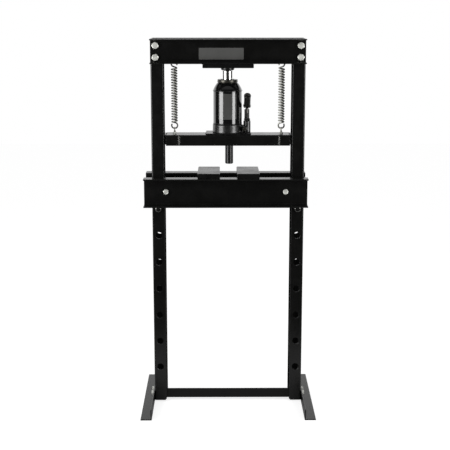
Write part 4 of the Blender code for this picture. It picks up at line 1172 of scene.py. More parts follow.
@dataclass
class PressFrame:
    """The standing frame: two uprights, the double beam and its header, the feet and the lower crossbar."""

    wall: float = 0.005
    fillet: float = 0.0055
    foot_chamfer: float = 0.006
    hole_radius: float = 0.014
    hole_pitch: float = 0.112
    top_hole: float = 0.824
    hole_count: int = 7
    hole_edge: float = 0.0006
    header_edge: float = 0.0014
    weld_width: float = 0.0075
    weld_height: float = 0.0028
    weld_inset: float = 0.012
    end_weld_start: float = 0.008
    end_weld_length: float = 0.026
    end_weld_share: float = 0.8
    bar_weld: tuple[float, float] = (0.0055, 0.0022)
    bar_weld_sunk: float = 0.001
    bar_weld_lean: float = 0.3
    sticker_low: tuple[float, float] = (-0.1146, 1.4194)
    sticker_high: tuple[float, float] = (0.0612, 1.4647)
    sticker_corner: float = 0.003
    sticker_thickness: float = 0.0003
    beam_bolt: Fastener = Fastener(0.008, 0.024, 0.010, 0.002, 0.0022)
    foot_bolt: Fastener = Fastener(0.006, 0.019, 0.0075, 0.00175)

    def build(self) -> None:
        """Builds every piece of the frame."""
        for label, side in SIDES:
            self.upright(label, side)
            self.foot(label, side)
        for label, side in DEPTHS:
            rolled_channel(f"top_channel_{label}", side, self.wall, self.fillet, "frame")
        self.header()
        self.crossbar()
        self.bolts()
        self.sticker()

    def upright(self, label: str, side: int) -> None:
        """Builds one channel post with its row of pin holes and a cut corner at its foot.

        Args:
            label: The side's name.
            side: 1 for the right, -1 for the left.
        """
        low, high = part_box(f"upright_{label}")
        outer, inner = (low.x, high.x) if side < 0 else (high.x, low.x)
        section = channel_outline(high.y - low.y, abs(outer - inner), self.wall, self.fillet)
        post = prism(placed(section, outer, 0, -side), Axis.Z, low.z, high.z)
        centre = side * abs(middle("bed_pin_left").x)
        walls = [(low.y, low.y + self.wall), (high.y - self.wall, high.y)]
        cuts = [drill((centre, 0, self.top_hole - i * self.hole_pitch), self.hole_radius, Axis.Y, walls,
                      self.hole_edge, 64) for i in range(self.hole_count)]
        cut = self.foot_chamfer
        wedge = [(inner + side * 1.5 * cut, low.z - cut / 2), (inner - side * cut, low.z - cut / 2),
                 (inner - side * cut, low.z + 2 * cut)]
        cuts.append(prism(wedge, Axis.Y, low.y - 0.01, high.y + 0.01, 0))
        piece(f"upright_{label}_post", carved(post, joined(cuts)), POWDER_COAT, "frame", [f"upright_{label}"])

    def header(self) -> None:
        """Builds the plate under the beam that the jack pushes on, welded along both channels."""
        low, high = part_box("header_plate")
        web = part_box("top_channel_back")[0].y
        piece("header_plate_cut", block(low, high, self.header_edge), POWDER_COAT, "frame", ["header_plate"])
        beads = []
        for side in (-1, 1):
            y = side * (web + self.wall * 0.2)
            start, end = (low.x + self.weld_inset, y, high.z), (high.x - self.weld_inset, y, high.z)
            beads.append(weld_bead(start, end, Vector((0, -side, 1)).normalized(), self.weld_width,
                                   self.weld_height))
        share = self.end_weld_share
        for end in (low.x, high.x):
            for side in (-1, 1):
                y = side * (web + self.end_weld_start)
                beads.append(weld_bead((end, y, high.z), (end, y + side * self.end_weld_length, high.z),
                                       (math.copysign(SLANT, end), 0, SLANT),
                                       self.weld_width * share, self.weld_height * share))
        piece("header_welds", joined(beads), POWDER_COAT, "frame")

    def foot(self, label: str, side: int) -> None:
        """Builds one rolled angle on the floor, outside its upright.

        Args:
            label: The side's name.
            side: 1 for the right, -1 for the left.
        """
        node = f"foot_{label}"
        low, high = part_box(node)
        section = angle_outline(high.x - low.x, high.z - low.z, self.wall)
        outline = placed(section, high.x if side < 0 else low.x, low.z, side)
        piece(f"{node}_angle", prism(outline, Axis.Y, low.y, high.y), POWDER_COAT, "frame", [node])

    def crossbar(self) -> None:
        """Builds the rolled angle low between the uprights, and the welds at its ends."""
        low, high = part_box("lower_crossbar")
        outline = placed(angle_outline(high.y - low.y, high.z - low.z, self.wall), low.y, low.z)
        piece("lower_crossbar_angle", prism(outline, Axis.X, low.x, high.x), CROSSBAR_COAT, "frame",
              ["lower_crossbar"])
        sunk = self.bar_weld_sunk
        near, far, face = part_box("upright_right")[0].x + sunk, high.x - sunk, low.y + sunk / 2
        beads = []
        for side in (-1, 1):
            for z, up in ((low.z + sunk, -1), (high.z - sunk, 1)):
                beads.append(weld_bead((side * near, face, z), (side * far, face, z),
                                       Vector((0, self.bar_weld_lean, up)).normalized(), *self.bar_weld))
        piece("crossbar_welds", joined(beads), POWDER_COAT, "frame")

    def bolts(self) -> None:
        """Builds the beam's bolts through both channels and the feet's bolts through the webs."""
        for i, spot in enumerate(("left_upper", "left_lower", "right_upper", "right_lower")):
            self.beam_bolt.bolt(f"beam_bolt_{spot}", Axis.Y, -1, "frame", 17 + 23 * i)
            self.beam_bolt.nut(f"beam_nut_{spot}", Axis.Y, 1, "frame", 9 + 31 * i)
        for label, side in SIDES:
            for i, (end, _) in enumerate(DEPTHS):
                self.foot_bolt.bolt(f"foot_bolt_{label}_{end}", Axis.X, side, "frame", 12 + 25 * i)
                self.foot_bolt.nut(f"foot_nut_{label}_{end}", Axis.X, -side, "frame", 40 * i)

    def sticker(self) -> None:
        """Builds the bare sticker in the front channel."""
        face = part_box("top_channel_front")[1].y - self.wall
        (x0, z0), (x1, z1) = self.sticker_low, self.sticker_high
        outline = rounded([(x, z, self.sticker_corner) for x, z in ((x0, z0), (x1, z0), (x1, z1), (x0, z1))])
        shape = prism(outline, Axis.Y, face - self.sticker_thickness, face + FLAT, 0)
        piece("beam_sticker", shape, STICKER, "frame")


@dataclass
class ReturnSprings:
    """The two tension springs that lift the platen, with their bars, eye bolts and nuts."""

    coil_radius: float = 0.0104
    wire_radius: float = 0.0029
    turns: float = 20.5
    hook_radius: float = 0.0118
    lower_neck: float = 0.0145
    coil_top_drop: float = 0.021
    steps: int = 18
    path_steps: int = 4
    crossing: tuple[float, ...] = (0.2, 0.4, 0.6, 0.8)
    crossing_pull: float = 0.85
    crossing_dip: float = 0.6
    crossing_power: float = 1.2
    ring_degrees: tuple[int, int, int] = (215, -40, -17)
    eye_radius: float = 0.0069
    eye_wire: float = 0.0022
    eye_opening: float = 15.0
    shank_radius: float = 0.004
    shank_pitch: float = 0.00125
    nut_flats: float = 0.013
    bar_edge: float = 0.0006

    def build(self) -> None:
        """Builds both sides."""
        for label, side in SIDES:
            self.spring(label, math.pi if side < 0 else 0.0)
            self.eye_bolt(label)
            self.top_bar(label)

    def hook(self, centre: float, coil: float, up: int, spin: float) -> list[Vector]:
        """Points from a coil's end over to the far side of the ring and round it.

        Args:
            centre: Height of the ring's centre.
            coil: Height of the coil's end.
            up: 1 for the upper hook, -1 for the lower.
            spin: The angle at which the coil ends.

        Returns:
            The points, from the coil outward.
        """
        rise = abs(centre - coil) - self.hook_radius * self.crossing_dip
        points = []
        for share in self.crossing:
            turn = math.pi * share
            reach = self.coil_radius + (self.hook_radius * self.crossing_pull - self.coil_radius) * share
            points.append(Vector((reach * math.cos(turn), up * reach * math.sin(turn) * (1 - share),
                                  coil + up * rise * share ** self.crossing_power)))
        for turn in map(math.radians, range(*self.ring_degrees)):
            outward = Vector((math.cos(turn), 0, up * math.sin(turn)))
            points.append(outward * self.hook_radius + Vector((0, 0, centre)))
        return [Matrix.Rotation(spin, 3, "Z") @ point for point in points]

    def spring(self, label: str, start: float) -> None:
        """One coil with a hook at each end, which stretches between the frame and the platen.

        Args:
            label: Which side it is on.
            start: The angle at which the coil's lower end lies.
        """
        node = f"spring_{label}"
        low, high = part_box(node)
        x = middle(f"eye_bolt_{label}").x
        hook = self.wire_radius + self.hook_radius
        hook_low, hook_high = low.z + hook, high.z - hook
        coil_low = hook_low + self.lower_neck
        coil_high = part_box("top_channel_front")[0].z - self.coil_top_drop
        count = round(self.turns * self.steps)
        coil = [Vector((self.coil_radius * math.cos(start + math.tau * i / self.steps),
                        self.coil_radius * math.sin(start + math.tau * i / self.steps),
                        coil_low + (coil_high - coil_low) * i / count)) for i in range(count + 1)]
        end = start + math.tau * self.turns
        skip = self.path_steps
        lower = smooth_path([coil[1], coil[0], *self.hook(hook_low, coil_low, -1, start)], skip)[skip:]
        upper = smooth_path([coil[-2], coil[-1], *self.hook(hook_high, coil_high, 1, end)], skip)[skip:]
        path = [point + Vector((x, 0, 0)) for point in lower[:0:-1] + coil + upper[1:]]
        piece(f"{node}_wire", wire(path, self.wire_radius), SPRING_ZINC, ("frame", "platen"), [node], 60)

    def eye_bolt(self, label: str) -> None:
        """Builds one eye bolt in the platen, and its nut.

        Args:
            label: Which side it is on.
        """
        node = f"eye_bolt_{label}"
        low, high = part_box(node)
        x = middle(node).x
        eye = high.z - self.eye_radius - self.eye_wire
        section = arc((0, 0), self.eye_wire, 0, 360 - self.eye_opening, 23)
        ring = [(self.eye_radius + a, b) for a, b in section]
        top = eye - self.eye_radius + self.eye_wire * 0.3
        shank = moved(threaded(self.shank_radius, self.shank_pitch, 0, top - low.z), upside_down((x, 0, top)))
        shape = joined([turned(ring, (x, 0, eye), Axis.X, 64, tube=True), shank])
        piece(f"{node}_bent", shape, SPRING_ZINC, "platen", [node])
        thread = Fastener(self.shank_radius, self.nut_flats, 0, self.shank_pitch)
        thread.nut(f"eye_nut_{label}", Axis.Z, 1, "platen", 20)

    def top_bar(self, label: str) -> None:
        """Builds the short round bar between the beam's channels that the upper hook hangs on.

        Args:
            label: Which side it is on.
        """
        node = f"spring_bar_{label}"
        low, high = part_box(node)
        rod = bar(middle(node), half_width(node), high.y - low.y, Axis.Y, edge=self.bar_edge)
        piece(f"{node}_round", rod, BRIGHT_STEEL, "frame", [node])


@dataclass
class Platen:
    """The sliding cross member: its channel, guides, seat plate and press pin."""

    wall: float = 0.005
    guide_wall: float = 0.006
    fillet: float = 0.0055
    seat_edge: float = 0.0009
    pin_edge: float = 0.002
    seam_places: tuple[float, float] = (-0.195, 0.204)
    seam: tuple[float, float, float] = (0.0052, 0.0020, 0.0024)
    seam_drop: tuple[float, float] = (0.003, 0.001)
    seat_weld: tuple[float, float] = (0.006, 0.0024)
    seat_weld_half: float = 0.030
    end_weld: tuple[float, float] = (0.004, 0.0011)
    end_weld_inset: float = 0.006
    end_weld_lean: float = 0.1
    pin_weld: float = 0.0045

    def build(self) -> None:
        """Builds every piece of the platen."""
        self.channels()
        low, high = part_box("seat_plate")
        piece("seat_plate_cut", block(low, high, self.seat_edge), PLATE_COAT, "platen", ["seat_plate"])
        self.press_pin()
        self.welds()

    def channels(self) -> None:
        """Builds the main channel, web up, and the guide inside each upright."""
        rows = (("platen_channel", self.wall), ("platen_guide_left", self.guide_wall),
                ("platen_guide_right", self.guide_wall))
        for node, wall in rows:
            low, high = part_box(node)
            section = channel_outline(high.y - low.y, high.z - low.z, wall, self.fillet)
            outline = [(b, high.z - a) for a, b in section]
            piece(f"{node}_rolled", prism(outline, Axis.X, low.x, high.x), POWDER_COAT, "platen", [node])

    def press_pin(self) -> None:
        """Builds the round pin under the platen that bears on the work."""
        low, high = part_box("press_pin")
        radius, edge = half_width("press_pin"), self.pin_edge
        profile = rounded([(0, low.z, 0), (radius - edge, low.z, 0.0004), (radius, low.z + edge, 0.0004),
                           (radius, high.z, 0), (0, high.z, 0)], 4, closed=False)
        piece("press_pin_turned", turned(profile, (middle("press_pin").x, 0, 0)), BLACKED_STEEL, "platen",
              ["press_pin"])

    def welds(self) -> None:
        """Builds the upright seams on the channel's faces, and the fillets round its guides, seat and pin."""
        low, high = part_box("platen_channel")
        upper, lower = self.seam_drop
        seams = [weld_bead((x, side * high.y, high.z - upper), (x, side * high.y, low.z + lower),
                           (0, side, 0), *self.seam) for x in self.seam_places for side in (-1, 1)]
        piece("platen_seams", joined(seams), BRIGHT_WELD, "platen")
        reach = self.seat_weld_half
        beads = [weld_bead((corner.x, -reach, high.z), (corner.x, reach, high.z), (side * SLANT, 0, SLANT),
                           *self.seat_weld) for corner, side in zip(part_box("seat_plate"), (-1, 1))]
        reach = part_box("platen_guide_right")[1].y - self.end_weld_inset
        top = high.z - self.wall / 10
        beads += [weld_bead((side * high.x, -reach, top), (side * high.x, reach, top),
                            Vector((side * self.end_weld_lean, 0, 1)).normalized(), *self.end_weld)
                  for side in (-1, 1)]
        root, size = half_width("press_pin") - 0.001, self.pin_weld
        ring = [(root + size * max(0.0, math.cos(a)), size * math.sin(a))
                for a in (math.tau * k / 16 for k in range(16))]
        beads.append(turned(ring, (middle("press_pin").x, 0, high.z - self.wall), tube=True))
        piece("platen_welds", joined(beads), POWDER_COAT, "platen")


@dataclass
class Jack:
    """The bottle jack: cast base, tank, cap, ram, saddle, filler plug and its bare sticker."""

    foot_height: float = 0.010
    foot_step: float = 0.0006
    base_edge: tuple[float, float] = (0.002, 0.001)
    boss_radius: float = 0.0145
    boss_height: float = 0.045
    boss_bore: float = 0.0083
    boss_bore_length: float = 0.042
    web_share: float = 0.8
    lug_thickness: float = 0.010
    lug_half: float = 0.0085
    lug_web: float = 0.0100
    lug_web_drop: tuple[float, float] = (0.010, 0.015)
    lug_root_drop: float = 0.006
    fulcrum_reach: float = 0.024
    pin_radius: float = 0.004
    pin_clearance: float = 0.0003
    valve_boss_radius: float = 0.0095
    valve_boss_reach: float = 0.034
    valve_bore: float = 0.0053
    valve_bore_length: float = 0.056
    voxel: float = 0.0013
    rounds: int = 5
    seat_gap: float = 0.0003
    bead: float = 0.0019
    foot_bead_share: float = 0.6
    foot_bead_rise: float = 0.004
    bead_sunk: float = 0.0004
    shoulder: float = 0.028
    crown: tuple[tuple[float, float], ...] = ((0.15, 0.30), (0.52, 0.66))
    tank_wall: float = 0.004
    neck_radius: float = 0.0400
    neck_rise: float = 0.0035
    cap_drop: float = 0.0038
    cap_height: float = 0.0125
    cap_skirt: tuple[float, float] = (0.006, 0.010)
    ram_radius: float = 0.021
    ram_head: float = 0.014
    ram_bore: tuple[float, float] = (0.0143, 0.080)
    screw_radius: float = 0.0139
    screw_pitch: float = 0.0025
    groove: float = 0.003
    ring_count: int = 18
    ring_step: float = 0.0011
    ring_depth: float = 0.0006
    sticker_low: tuple[float, float] = (-39.0, 1.1835)
    sticker_high: tuple[float, float] = (37.6, 1.2850)
    sticker_thickness: float = 0.00025
    sticker_sunk: float = 0.0004

    def build(self) -> None:
        """Builds every piece of the jack, and dresses the cylinder hidden in its tank."""
        self.base()
        self.tank()
        self.cap()
        self.ram()
        self.saddle()
        self.filler_plug()
        self.sticker()
        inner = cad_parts["jack_cylinder"].data.materials
        inner.clear()
        inner.append(BRIGHT_STEEL.material())

    def axis(self) -> Vector:
        """A point on the jack's axis, at height 0."""
        return Vector((middle("jack_tank").x, 0, 0))

    def base(self) -> None:
        """Builds the cast base with the pump boss, its web, the fulcrum lug and the release valve's boss."""
        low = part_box("jack_base")[0]
        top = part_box("jack_tank")[0].z - self.seat_gap
        x = self.axis().x
        radius = x - low.x
        neck = radius - self.foot_step
        pump, valve, pivot = middle("pump_cylinder").x, middle("release_valve"), middle("piston_pin").z
        step, (edge, edge_drop) = low.z + self.foot_height, self.base_edge
        disc = turned([(0, low.z), (radius, low.z), (radius, step - self.foot_step), (neck, step),
                       (neck, top - edge_drop), (neck - edge, top), (0, top)], self.axis(), sides=120)
        half = self.boss_radius * self.web_share
        boss_top = low.z + self.boss_height
        reach, root = self.fulcrum_reach, boss_top - self.lug_root_drop
        near, far = reach - self.lug_half, reach + self.lug_half
        lug = [(0, low.z), (far, low.z), (far, pivot), *arc((reach, pivot), self.lug_half, 0, 180, 16)[1:],
               (near, root), (0, root)]
        web_low, web_high = self.lug_web_drop
        valve_boss, valve_hole = ((valve.x, -self.valve_boss_reach * share, valve.z) for share in (0.5, 1))
        rough = joined([
            disc,
            bar((pump, 0, low.z + self.boss_height / 2), self.boss_radius, self.boss_height, Axis.Z, 64),
            block((x + radius * 0.7, -half, low.z), (pump, half, top - 0.004)),
            bar(valve_boss, self.valve_boss_radius, self.valve_boss_reach, Axis.Y),
            prism(lug, Axis.X, pump - self.lug_thickness / 2, pump + self.lug_thickness / 2, 0),
            block((pump - self.lug_web, near, boss_top - web_low),
                  (pump + self.lug_web, far, pivot - web_high)),
        ])
        cuts = [
            bar((pump, 0, boss_top), self.boss_bore, self.boss_bore_length, Axis.Z, 40),
            bar((pump, reach, pivot), self.pin_radius + self.pin_clearance, 0.03, Axis.X, 32),
            bar(valve_hole, self.valve_bore, self.valve_bore_length, Axis.Y, 32),
            block((low.x - 0.01, -0.08, top - FLAT), (x + radius - 0.003, 0.08, top + 0.004)),
        ]
        shape = carved(cast(rough, self.voxel, self.rounds), joined(cuts))
        piece("jack_base_cast", shape, CAST_BLACK, "platen", ["jack_base"], angle=42)

    def tank(self) -> None:
        """Builds the drawn tank, with a rolled bead under its shoulder and a seam at its foot."""
        low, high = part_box("jack_tank")
        radius, neck = half_width("jack_tank"), self.neck_radius
        start, top = high.z - self.shoulder, high.z + self.neck_rise
        slope, climb, sunk = radius - neck, top - start, self.bead_sunk
        middles = [(radius - slope * inward, start + climb * up) for inward, up in self.crown]
        points = [(radius, start + 0.002), *middles, (neck + 0.0022, top - 0.0022), (neck - 0.001, top)]
        crown = smooth_path([Vector((a, b, 0)) for a, b in points], 7)
        bead = arc((radius - sunk, start), self.bead + sunk, -70, 70, 10)
        foot_at = (radius - sunk, low.z + self.foot_bead_rise)
        foot = arc(foot_at, self.bead * self.foot_bead_share + sunk, -70, 70, 8)
        wall, wall_rows = low.z + self.foot_bead_rise + 0.0026, 6
        side = [(radius, wall + (start - 0.003 - wall) * k / wall_rows) for k in range(wall_rows + 1)]
        profile = [(radius - self.tank_wall, low.z), (radius - 0.0003, low.z), (radius, low.z + 0.0006),
                   *foot, *side, *bead, *[(p.x, p.y) for p in crown], (neck - self.tank_wall, top),
                   (max(radius, neck) - self.tank_wall, start), (max(radius, neck) - self.tank_wall, low.z)]
        piece("jack_tank_drawn", turned(profile, self.axis(), sides=160, tube=True), ENAMEL, "platen",
              ["jack_tank"], angle=50)

    def cap(self) -> None:
        """Builds the screwed cap with its groove, rim and wiper ring."""
        radius, shaft = half_width("jack_cap"), self.ram_radius
        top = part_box("jack_cap")[1].z - self.cap_drop
        seat = top - self.cap_height
        skirt, drop = self.neck_radius - self.cap_skirt[0], self.cap_skirt[1]
        profile = rounded([
            (shaft + 0.0006, seat - drop, 0), (skirt, seat - drop, 0),
            (skirt, seat, 0), (radius - 0.0025, seat, 0.0004), (radius, seat + 0.0040, 0.0012),
            (radius, seat + 0.0066, 0.0004), (radius - 0.0012, seat + 0.0073, 0.0004),
            (radius - 0.0012, seat + 0.0085, 0.0004), (radius, seat + 0.0092, 0.0004),
            (radius, top - 0.0018, 0.0010), (radius - 0.0020, top, 0.0008),
            (shaft + 0.0075, top, 0.0006), (shaft + 0.0065, top - 0.002, 0.0006),
            (shaft + 0.0006, top - 0.002, 0.0003),
        ], 4)
        piece("jack_cap_turned", turned(profile, self.axis(), sides=128, tube=True), TURNED_STEEL, "platen",
              ["jack_cap"])
        wiper = rounded([(shaft + 0.0002, top - 0.0022, 0), (shaft + 0.0055, top - 0.0022, 0.0003),
                         (shaft + 0.0050, top - 0.0004, 0.0006), (shaft + 0.0002, top - 0.0001, 0.0003)], 4)
        piece("jack_wiper", turned(wiper, self.axis(), tube=True), RUBBER, "platen")

    def ram(self) -> None:
        """Builds the chromed ram with its head in the cylinder."""
        low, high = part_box("jack_ram")
        head, shaft, collar = half_width("jack_ram"), self.ram_radius, low.z + self.ram_head
        bore, depth = self.ram_bore
        profile = rounded([(0, low.z, 0), (head, low.z, 0.0005), (head, collar, 0.0005),
                           (shaft, collar, 0.0005), (shaft, high.z, 0.0014), (bore, high.z, 0.0004),
                           (bore, high.z - depth, 0), (0, high.z - depth, 0)], closed=False)
        piece("jack_ram_ground", turned(profile, self.axis(), sides=128), CHROME, "ram", ["jack_ram"])

    def saddle(self) -> None:
        """Builds the saddle on its extension screw, with crossed grooves and ring marks."""
        low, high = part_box("ram_saddle")
        radius, under, rim = half_width("ram_saddle"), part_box("jack_ram")[1].z + 0.002, 0.0012
        face = [(radius - rim - self.ring_step * k, high.z - (self.ring_depth if k % 3 == 1 else 0.0))
                for k in range(1, self.ring_count)]
        side = [(0, under, 0), (radius - 0.004, under, 0.0006), (radius, under + 0.003, 0.0006),
                (radius, high.z - rim, 0.0004), (radius - rim, high.z, 0.0002)]
        profile = [*rounded(side, 4, closed=False), *face, (0, high.z)]
        crown = turned(profile, self.axis(), sides=120)
        reach, half, x = radius * 1.2, self.groove / 2, self.axis().x
        for along, across in ((reach, half), (half, reach)):
            groove = block((x - along, -across, high.z - half), (x + along, across, high.z + half))
            crown = carved(crown, groove)
        root = under + 0.001
        screw = moved(threaded(self.screw_radius, self.screw_pitch, 0, root - low.z, FINE),
                      upside_down((x, 0, root)))
        piece("ram_saddle_forged", joined([crown, screw]), BLACKED_STEEL, "saddle", ["ram_saddle"])

    def filler_plug(self) -> None:
        """Builds the rubber plug in the back of the tank."""
        low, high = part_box("filler_plug")
        radius, back = half_width("filler_plug"), high.y
        stem = radius * 0.62
        profile = rounded([(0, low.y, 0), (stem, low.y, 0.0008), (stem, back - 0.0042, 0.0002),
                           (radius, back - 0.0040, 0.0006), (radius, back - 0.0018, 0.0008),
                           (radius * 0.7, back, 0.0012), (radius * 0.3, back - 0.0006, 0.0004),
                           (0, back - 0.0006, 0)], closed=False)
        place = middle("filler_plug")
        piece("filler_plug_moulded", turned(profile, (place.x, 0, place.z), Axis.Y, 64), RUBBER, "platen",
              ["filler_plug"])

    def sticker(self) -> None:
        """Builds the bare sticker that wraps the tank's front."""
        (start, z0), (end, z1) = self.sticker_low, self.sticker_high
        radius = half_width("jack_tank")
        outline = arc((0, 0), radius + self.sticker_thickness, start - 90, end - 90, 40)
        outline += arc((0, 0), radius - self.sticker_sunk, end - 90, start - 90, 40)
        film = prism(placed(outline, self.axis().x, 0), Axis.Z, z0, z1, 0)
        piece("tank_sticker", film, TANK_STICKER, "platen")


@dataclass
class HandPump:
    """The hand pump beside the tank: barrel, piston, pins, handle socket and release valve."""

    spigot_radius: float = 0.008
    barrel_radius: float = 0.0095
    hex_flats: float = 0.022
    hex_height: float = 0.010
    hex_spin: float = 0.26
    barrel_seat: float = 0.0453
    piston_radius: float = 0.006
    piston_clearance: float = 0.0003
    piston_head: float = 0.0065
    piston_head_drop: float = 0.009
    pin_hole: float = 0.0043
    pin_hole_length: tuple[float, float] = (0.03, 0.04)
    pin_edge: float = 0.0008
    pin_groove: float = 0.0006
    fulcrum_reach: float = 0.024
    ear_inner: float = 0.0068
    ear_outer: float = 0.0132
    ear_radius: float = 0.0078
    slot_radius: float = 0.0049
    slot_ends: tuple[float, float] = (0.0008, -0.0053)
    socket_radius: float = 0.013
    socket_rim: tuple[float, float] = (0.0009, 0.007)
    socket_bore: float = 0.0105
    socket_length: float = 0.058
    socket_root: tuple[float, float] = (-0.019, 0.006)
    socket_tilt: float = 45.0
    bore_depth: float = 0.045
    lining: float = 0.0003
    lining_drop: float = 0.003
    fork_gap: tuple[float, float] = (-0.018, 0.054)
    valve_slot: float = 0.002
    valve_head: float = 0.012
    voxel: float = 0.0009
    rounds: int = 4

    def build(self) -> None:
        """Builds every piece of the pump."""
        self.barrel()
        self.piston()
        for node, body in (("piston_pin", "piston"), ("fulcrum_pin", "platen")):
            self.pin(node, body)
        self.socket()
        self.valve()

    def pivot(self) -> Vector:
        """The centre of the piston pin."""
        return middle("piston_pin")

    def barrel(self) -> None:
        """Builds the pump's cylinder, with its hexagon and a packing nut round the piston."""
        low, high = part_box("pump_cylinder")
        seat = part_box("jack_base")[0].z + self.barrel_seat
        bore, outer = self.piston_radius + self.piston_clearance, self.barrel_radius
        neck = seat + self.hex_height
        tube = rounded([(bore, low.z, 0), (self.spigot_radius, low.z, 0.0005), (self.spigot_radius, seat, 0),
                        (outer - 0.0008, neck + 0.0003, 0), (outer - 0.0008, neck + 0.002, 0.0004),
                        (outer, neck + 0.003, 0.0004), (outer, high.z - 0.001, 0.0008),
                        (bore + 0.001, high.z, 0.0005), (bore, high.z - 0.001, 0.0003)], 4)
        x = self.pivot().x
        shape = joined([turned(tube, (x, 0, 0), sides=80, tube=True),
                        moved(hexed(self.hex_flats, 0, self.hex_height, both=True, bore=bore + 0.001),
                              Matrix.Translation((x, 0, seat)) @ Matrix.Rotation(self.hex_spin, 4, "Z"))])
        piece("pump_barrel", shape, BLACKED_STEEL, "platen", ["pump_cylinder"], angle=28)

    def piston(self) -> None:
        """Builds the plunger, with a flattened head that carries the pin."""
        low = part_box("pump_piston")[0]
        pivot, half, head = self.pivot(), half_width("pump_piston"), self.piston_head
        neck = pivot.z - self.piston_head_drop
        outline = [(head, neck), *arc((0, pivot.z), head, 0, 180, 24), (-head, neck)]
        flat = carved(prism(outline, Axis.X, pivot.x - half, pivot.x + half, 0.0005),
                      bar(pivot, self.pin_hole, self.pin_hole_length[0], Axis.X, 40))
        top = neck + 0.0005
        rod = bar((pivot.x, 0, (low.z + top) / 2), self.piston_radius, top - low.z, Axis.Z, 64)
        piece("pump_plunger", joined([flat, rod]), PLUNGER, "piston", ["pump_piston"])

    def pin(self, node: str, body: str) -> None:
        """Builds one of the two cross pins, with a groove near each end.

        Args:
            node: The CAD node.
            body: The body that it rides on.
        """
        low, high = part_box(node)
        radius, half = (high.z - low.z) / 2, half_width(node)
        waist = radius - self.pin_groove
        end = [(0, -half, 0), (radius, -half, self.pin_edge), (radius, -half + 0.0009, 0.0001),
               (waist, -half + 0.001, 0.0001), (waist, -half + 0.0015, 0.0001),
               (radius, -half + 0.0016, 0.0001)]
        far_end = [(reach, -along, fillet) for reach, along, fillet in end[::-1]]
        profile = rounded(end + far_end, 2, closed=False)
        piece(f"{node}_turned", turned(profile, middle(node), Axis.X, FINE), BRIGHT_STEEL, body, [node])

    def tube(self, radius: float, start: float, end: float) -> bmesh.types.BMesh:
        """A round bar along the socket's axis, between two distances from the socket's root."""
        return moved(bar((0, 0, (start + end) / 2), radius, end - start, Axis.Z, 64), self.socket_place())

    def socket_place(self) -> Matrix:
        """The place of the socket's own frame, whose +Z runs out along its bore."""
        root = self.pivot() + Vector((0, *self.socket_root))
        return Matrix.Translation(root) @ Matrix.Rotation(math.radians(self.socket_tilt), 4, "X")

    def socket(self) -> None:
        """Builds the cast handle socket, a tube on a fork whose ears carry both pins, and lines its bore."""
        pivot, ear, length, bore = self.pivot(), self.ear_radius, self.socket_length, self.socket_bore
        root_y, root_z = self.socket_root
        out = self.socket_radius * 0.7
        outline = [
            *arc((self.fulcrum_reach, pivot.z), ear, -90, 90, 20), (root_y + 0.014, pivot.z + ear),
            (root_y + out, pivot.z + root_z + out), (root_y - out, pivot.z + root_z - out),
            (-0.004, pivot.z - ear),
        ]
        rim, rim_length = self.socket_rim
        rough = joined([
            prism(outline, Axis.X, pivot.x - self.ear_outer, pivot.x + self.ear_outer, 0),
            self.tube(self.socket_radius, -0.002, length),
            self.tube(self.socket_radius + rim, length - rim_length, length - 0.0004),
        ])
        shape = cast(rough, self.voxel, self.rounds)
        (front, back), root, half = self.fork_gap, length - self.bore_depth, self.ear_inner
        for cut in (
            block((pivot.x - half, front, pivot.z - 0.05), (pivot.x + half, back, pivot.z + 0.05)),
            self.tube(bore, root, length + 0.01),
            prism(self.pin_slot(), Axis.X, pivot.x - 0.02, pivot.x + 0.02, 0),
            bar((pivot.x, self.fulcrum_reach, pivot.z), self.pin_hole, self.pin_hole_length[1], Axis.X, 40),
        ):
            shape = carved(shape, cut)
        piece("handle_socket_cast", shape, CAST_BLACK, "handle", ["handle_socket"], angle=40)
        mouth, wall = length - self.lining_drop, self.lining
        lining = [(0, root - wall), (bore + wall, root - wall), (bore + wall, mouth), (bore - wall, mouth),
                  (bore - wall, root + wall), (0, root + wall)]
        bore_wall = moved(turned(lining, sides=64), self.socket_place())
        piece("handle_socket_bore", bore_wall, BRIGHT_STEEL, "handle")

    def pin_slot(self) -> Outline:
        """The outline of the slot that lets the piston pin shift in the ears."""
        (right, left), z = self.slot_ends, self.pivot().z
        return arc((right, z), self.slot_radius, -90, 90, 16) + arc((left, z), self.slot_radius, 90, 270, 16)

    def valve(self) -> None:
        """Builds the release screw, with a slotted round head."""
        low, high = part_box("release_valve")
        place, head, front = middle("release_valve"), half_width("release_valve"), low.y
        back, waist = front + self.valve_head, half_width("release_valve") - 0.0006
        profile = rounded([
            (0, front, 0), (waist, front, 0.0006), (head, front + 0.0012, 0.0004),
            (head, front + 0.0042, 0.0002), (waist, front + 0.0047, 0.0001),
            (waist, front + 0.0052, 0.0001), (head, front + 0.0057, 0.0002),
            (head, back - 0.0004, 0.0004), (0.005, back - 0.0004, 0), (0.005, high.y - 0.004, 0.0004),
            (0.002, high.y, 0.0004), (0, high.y, 0),
        ], 3, closed=False)
        shape = turned(profile, (place.x, 0, place.z), Axis.Y, 64)
        half = self.valve_slot / 2
        slot = block((place.x - 0.02, front - 0.004, place.z - half),
                     (place.x + 0.02, front + 0.005, place.z + half))
        piece("release_screw", carved(shape, slot), TURNED_STEEL, "valve", ["release_valve"])


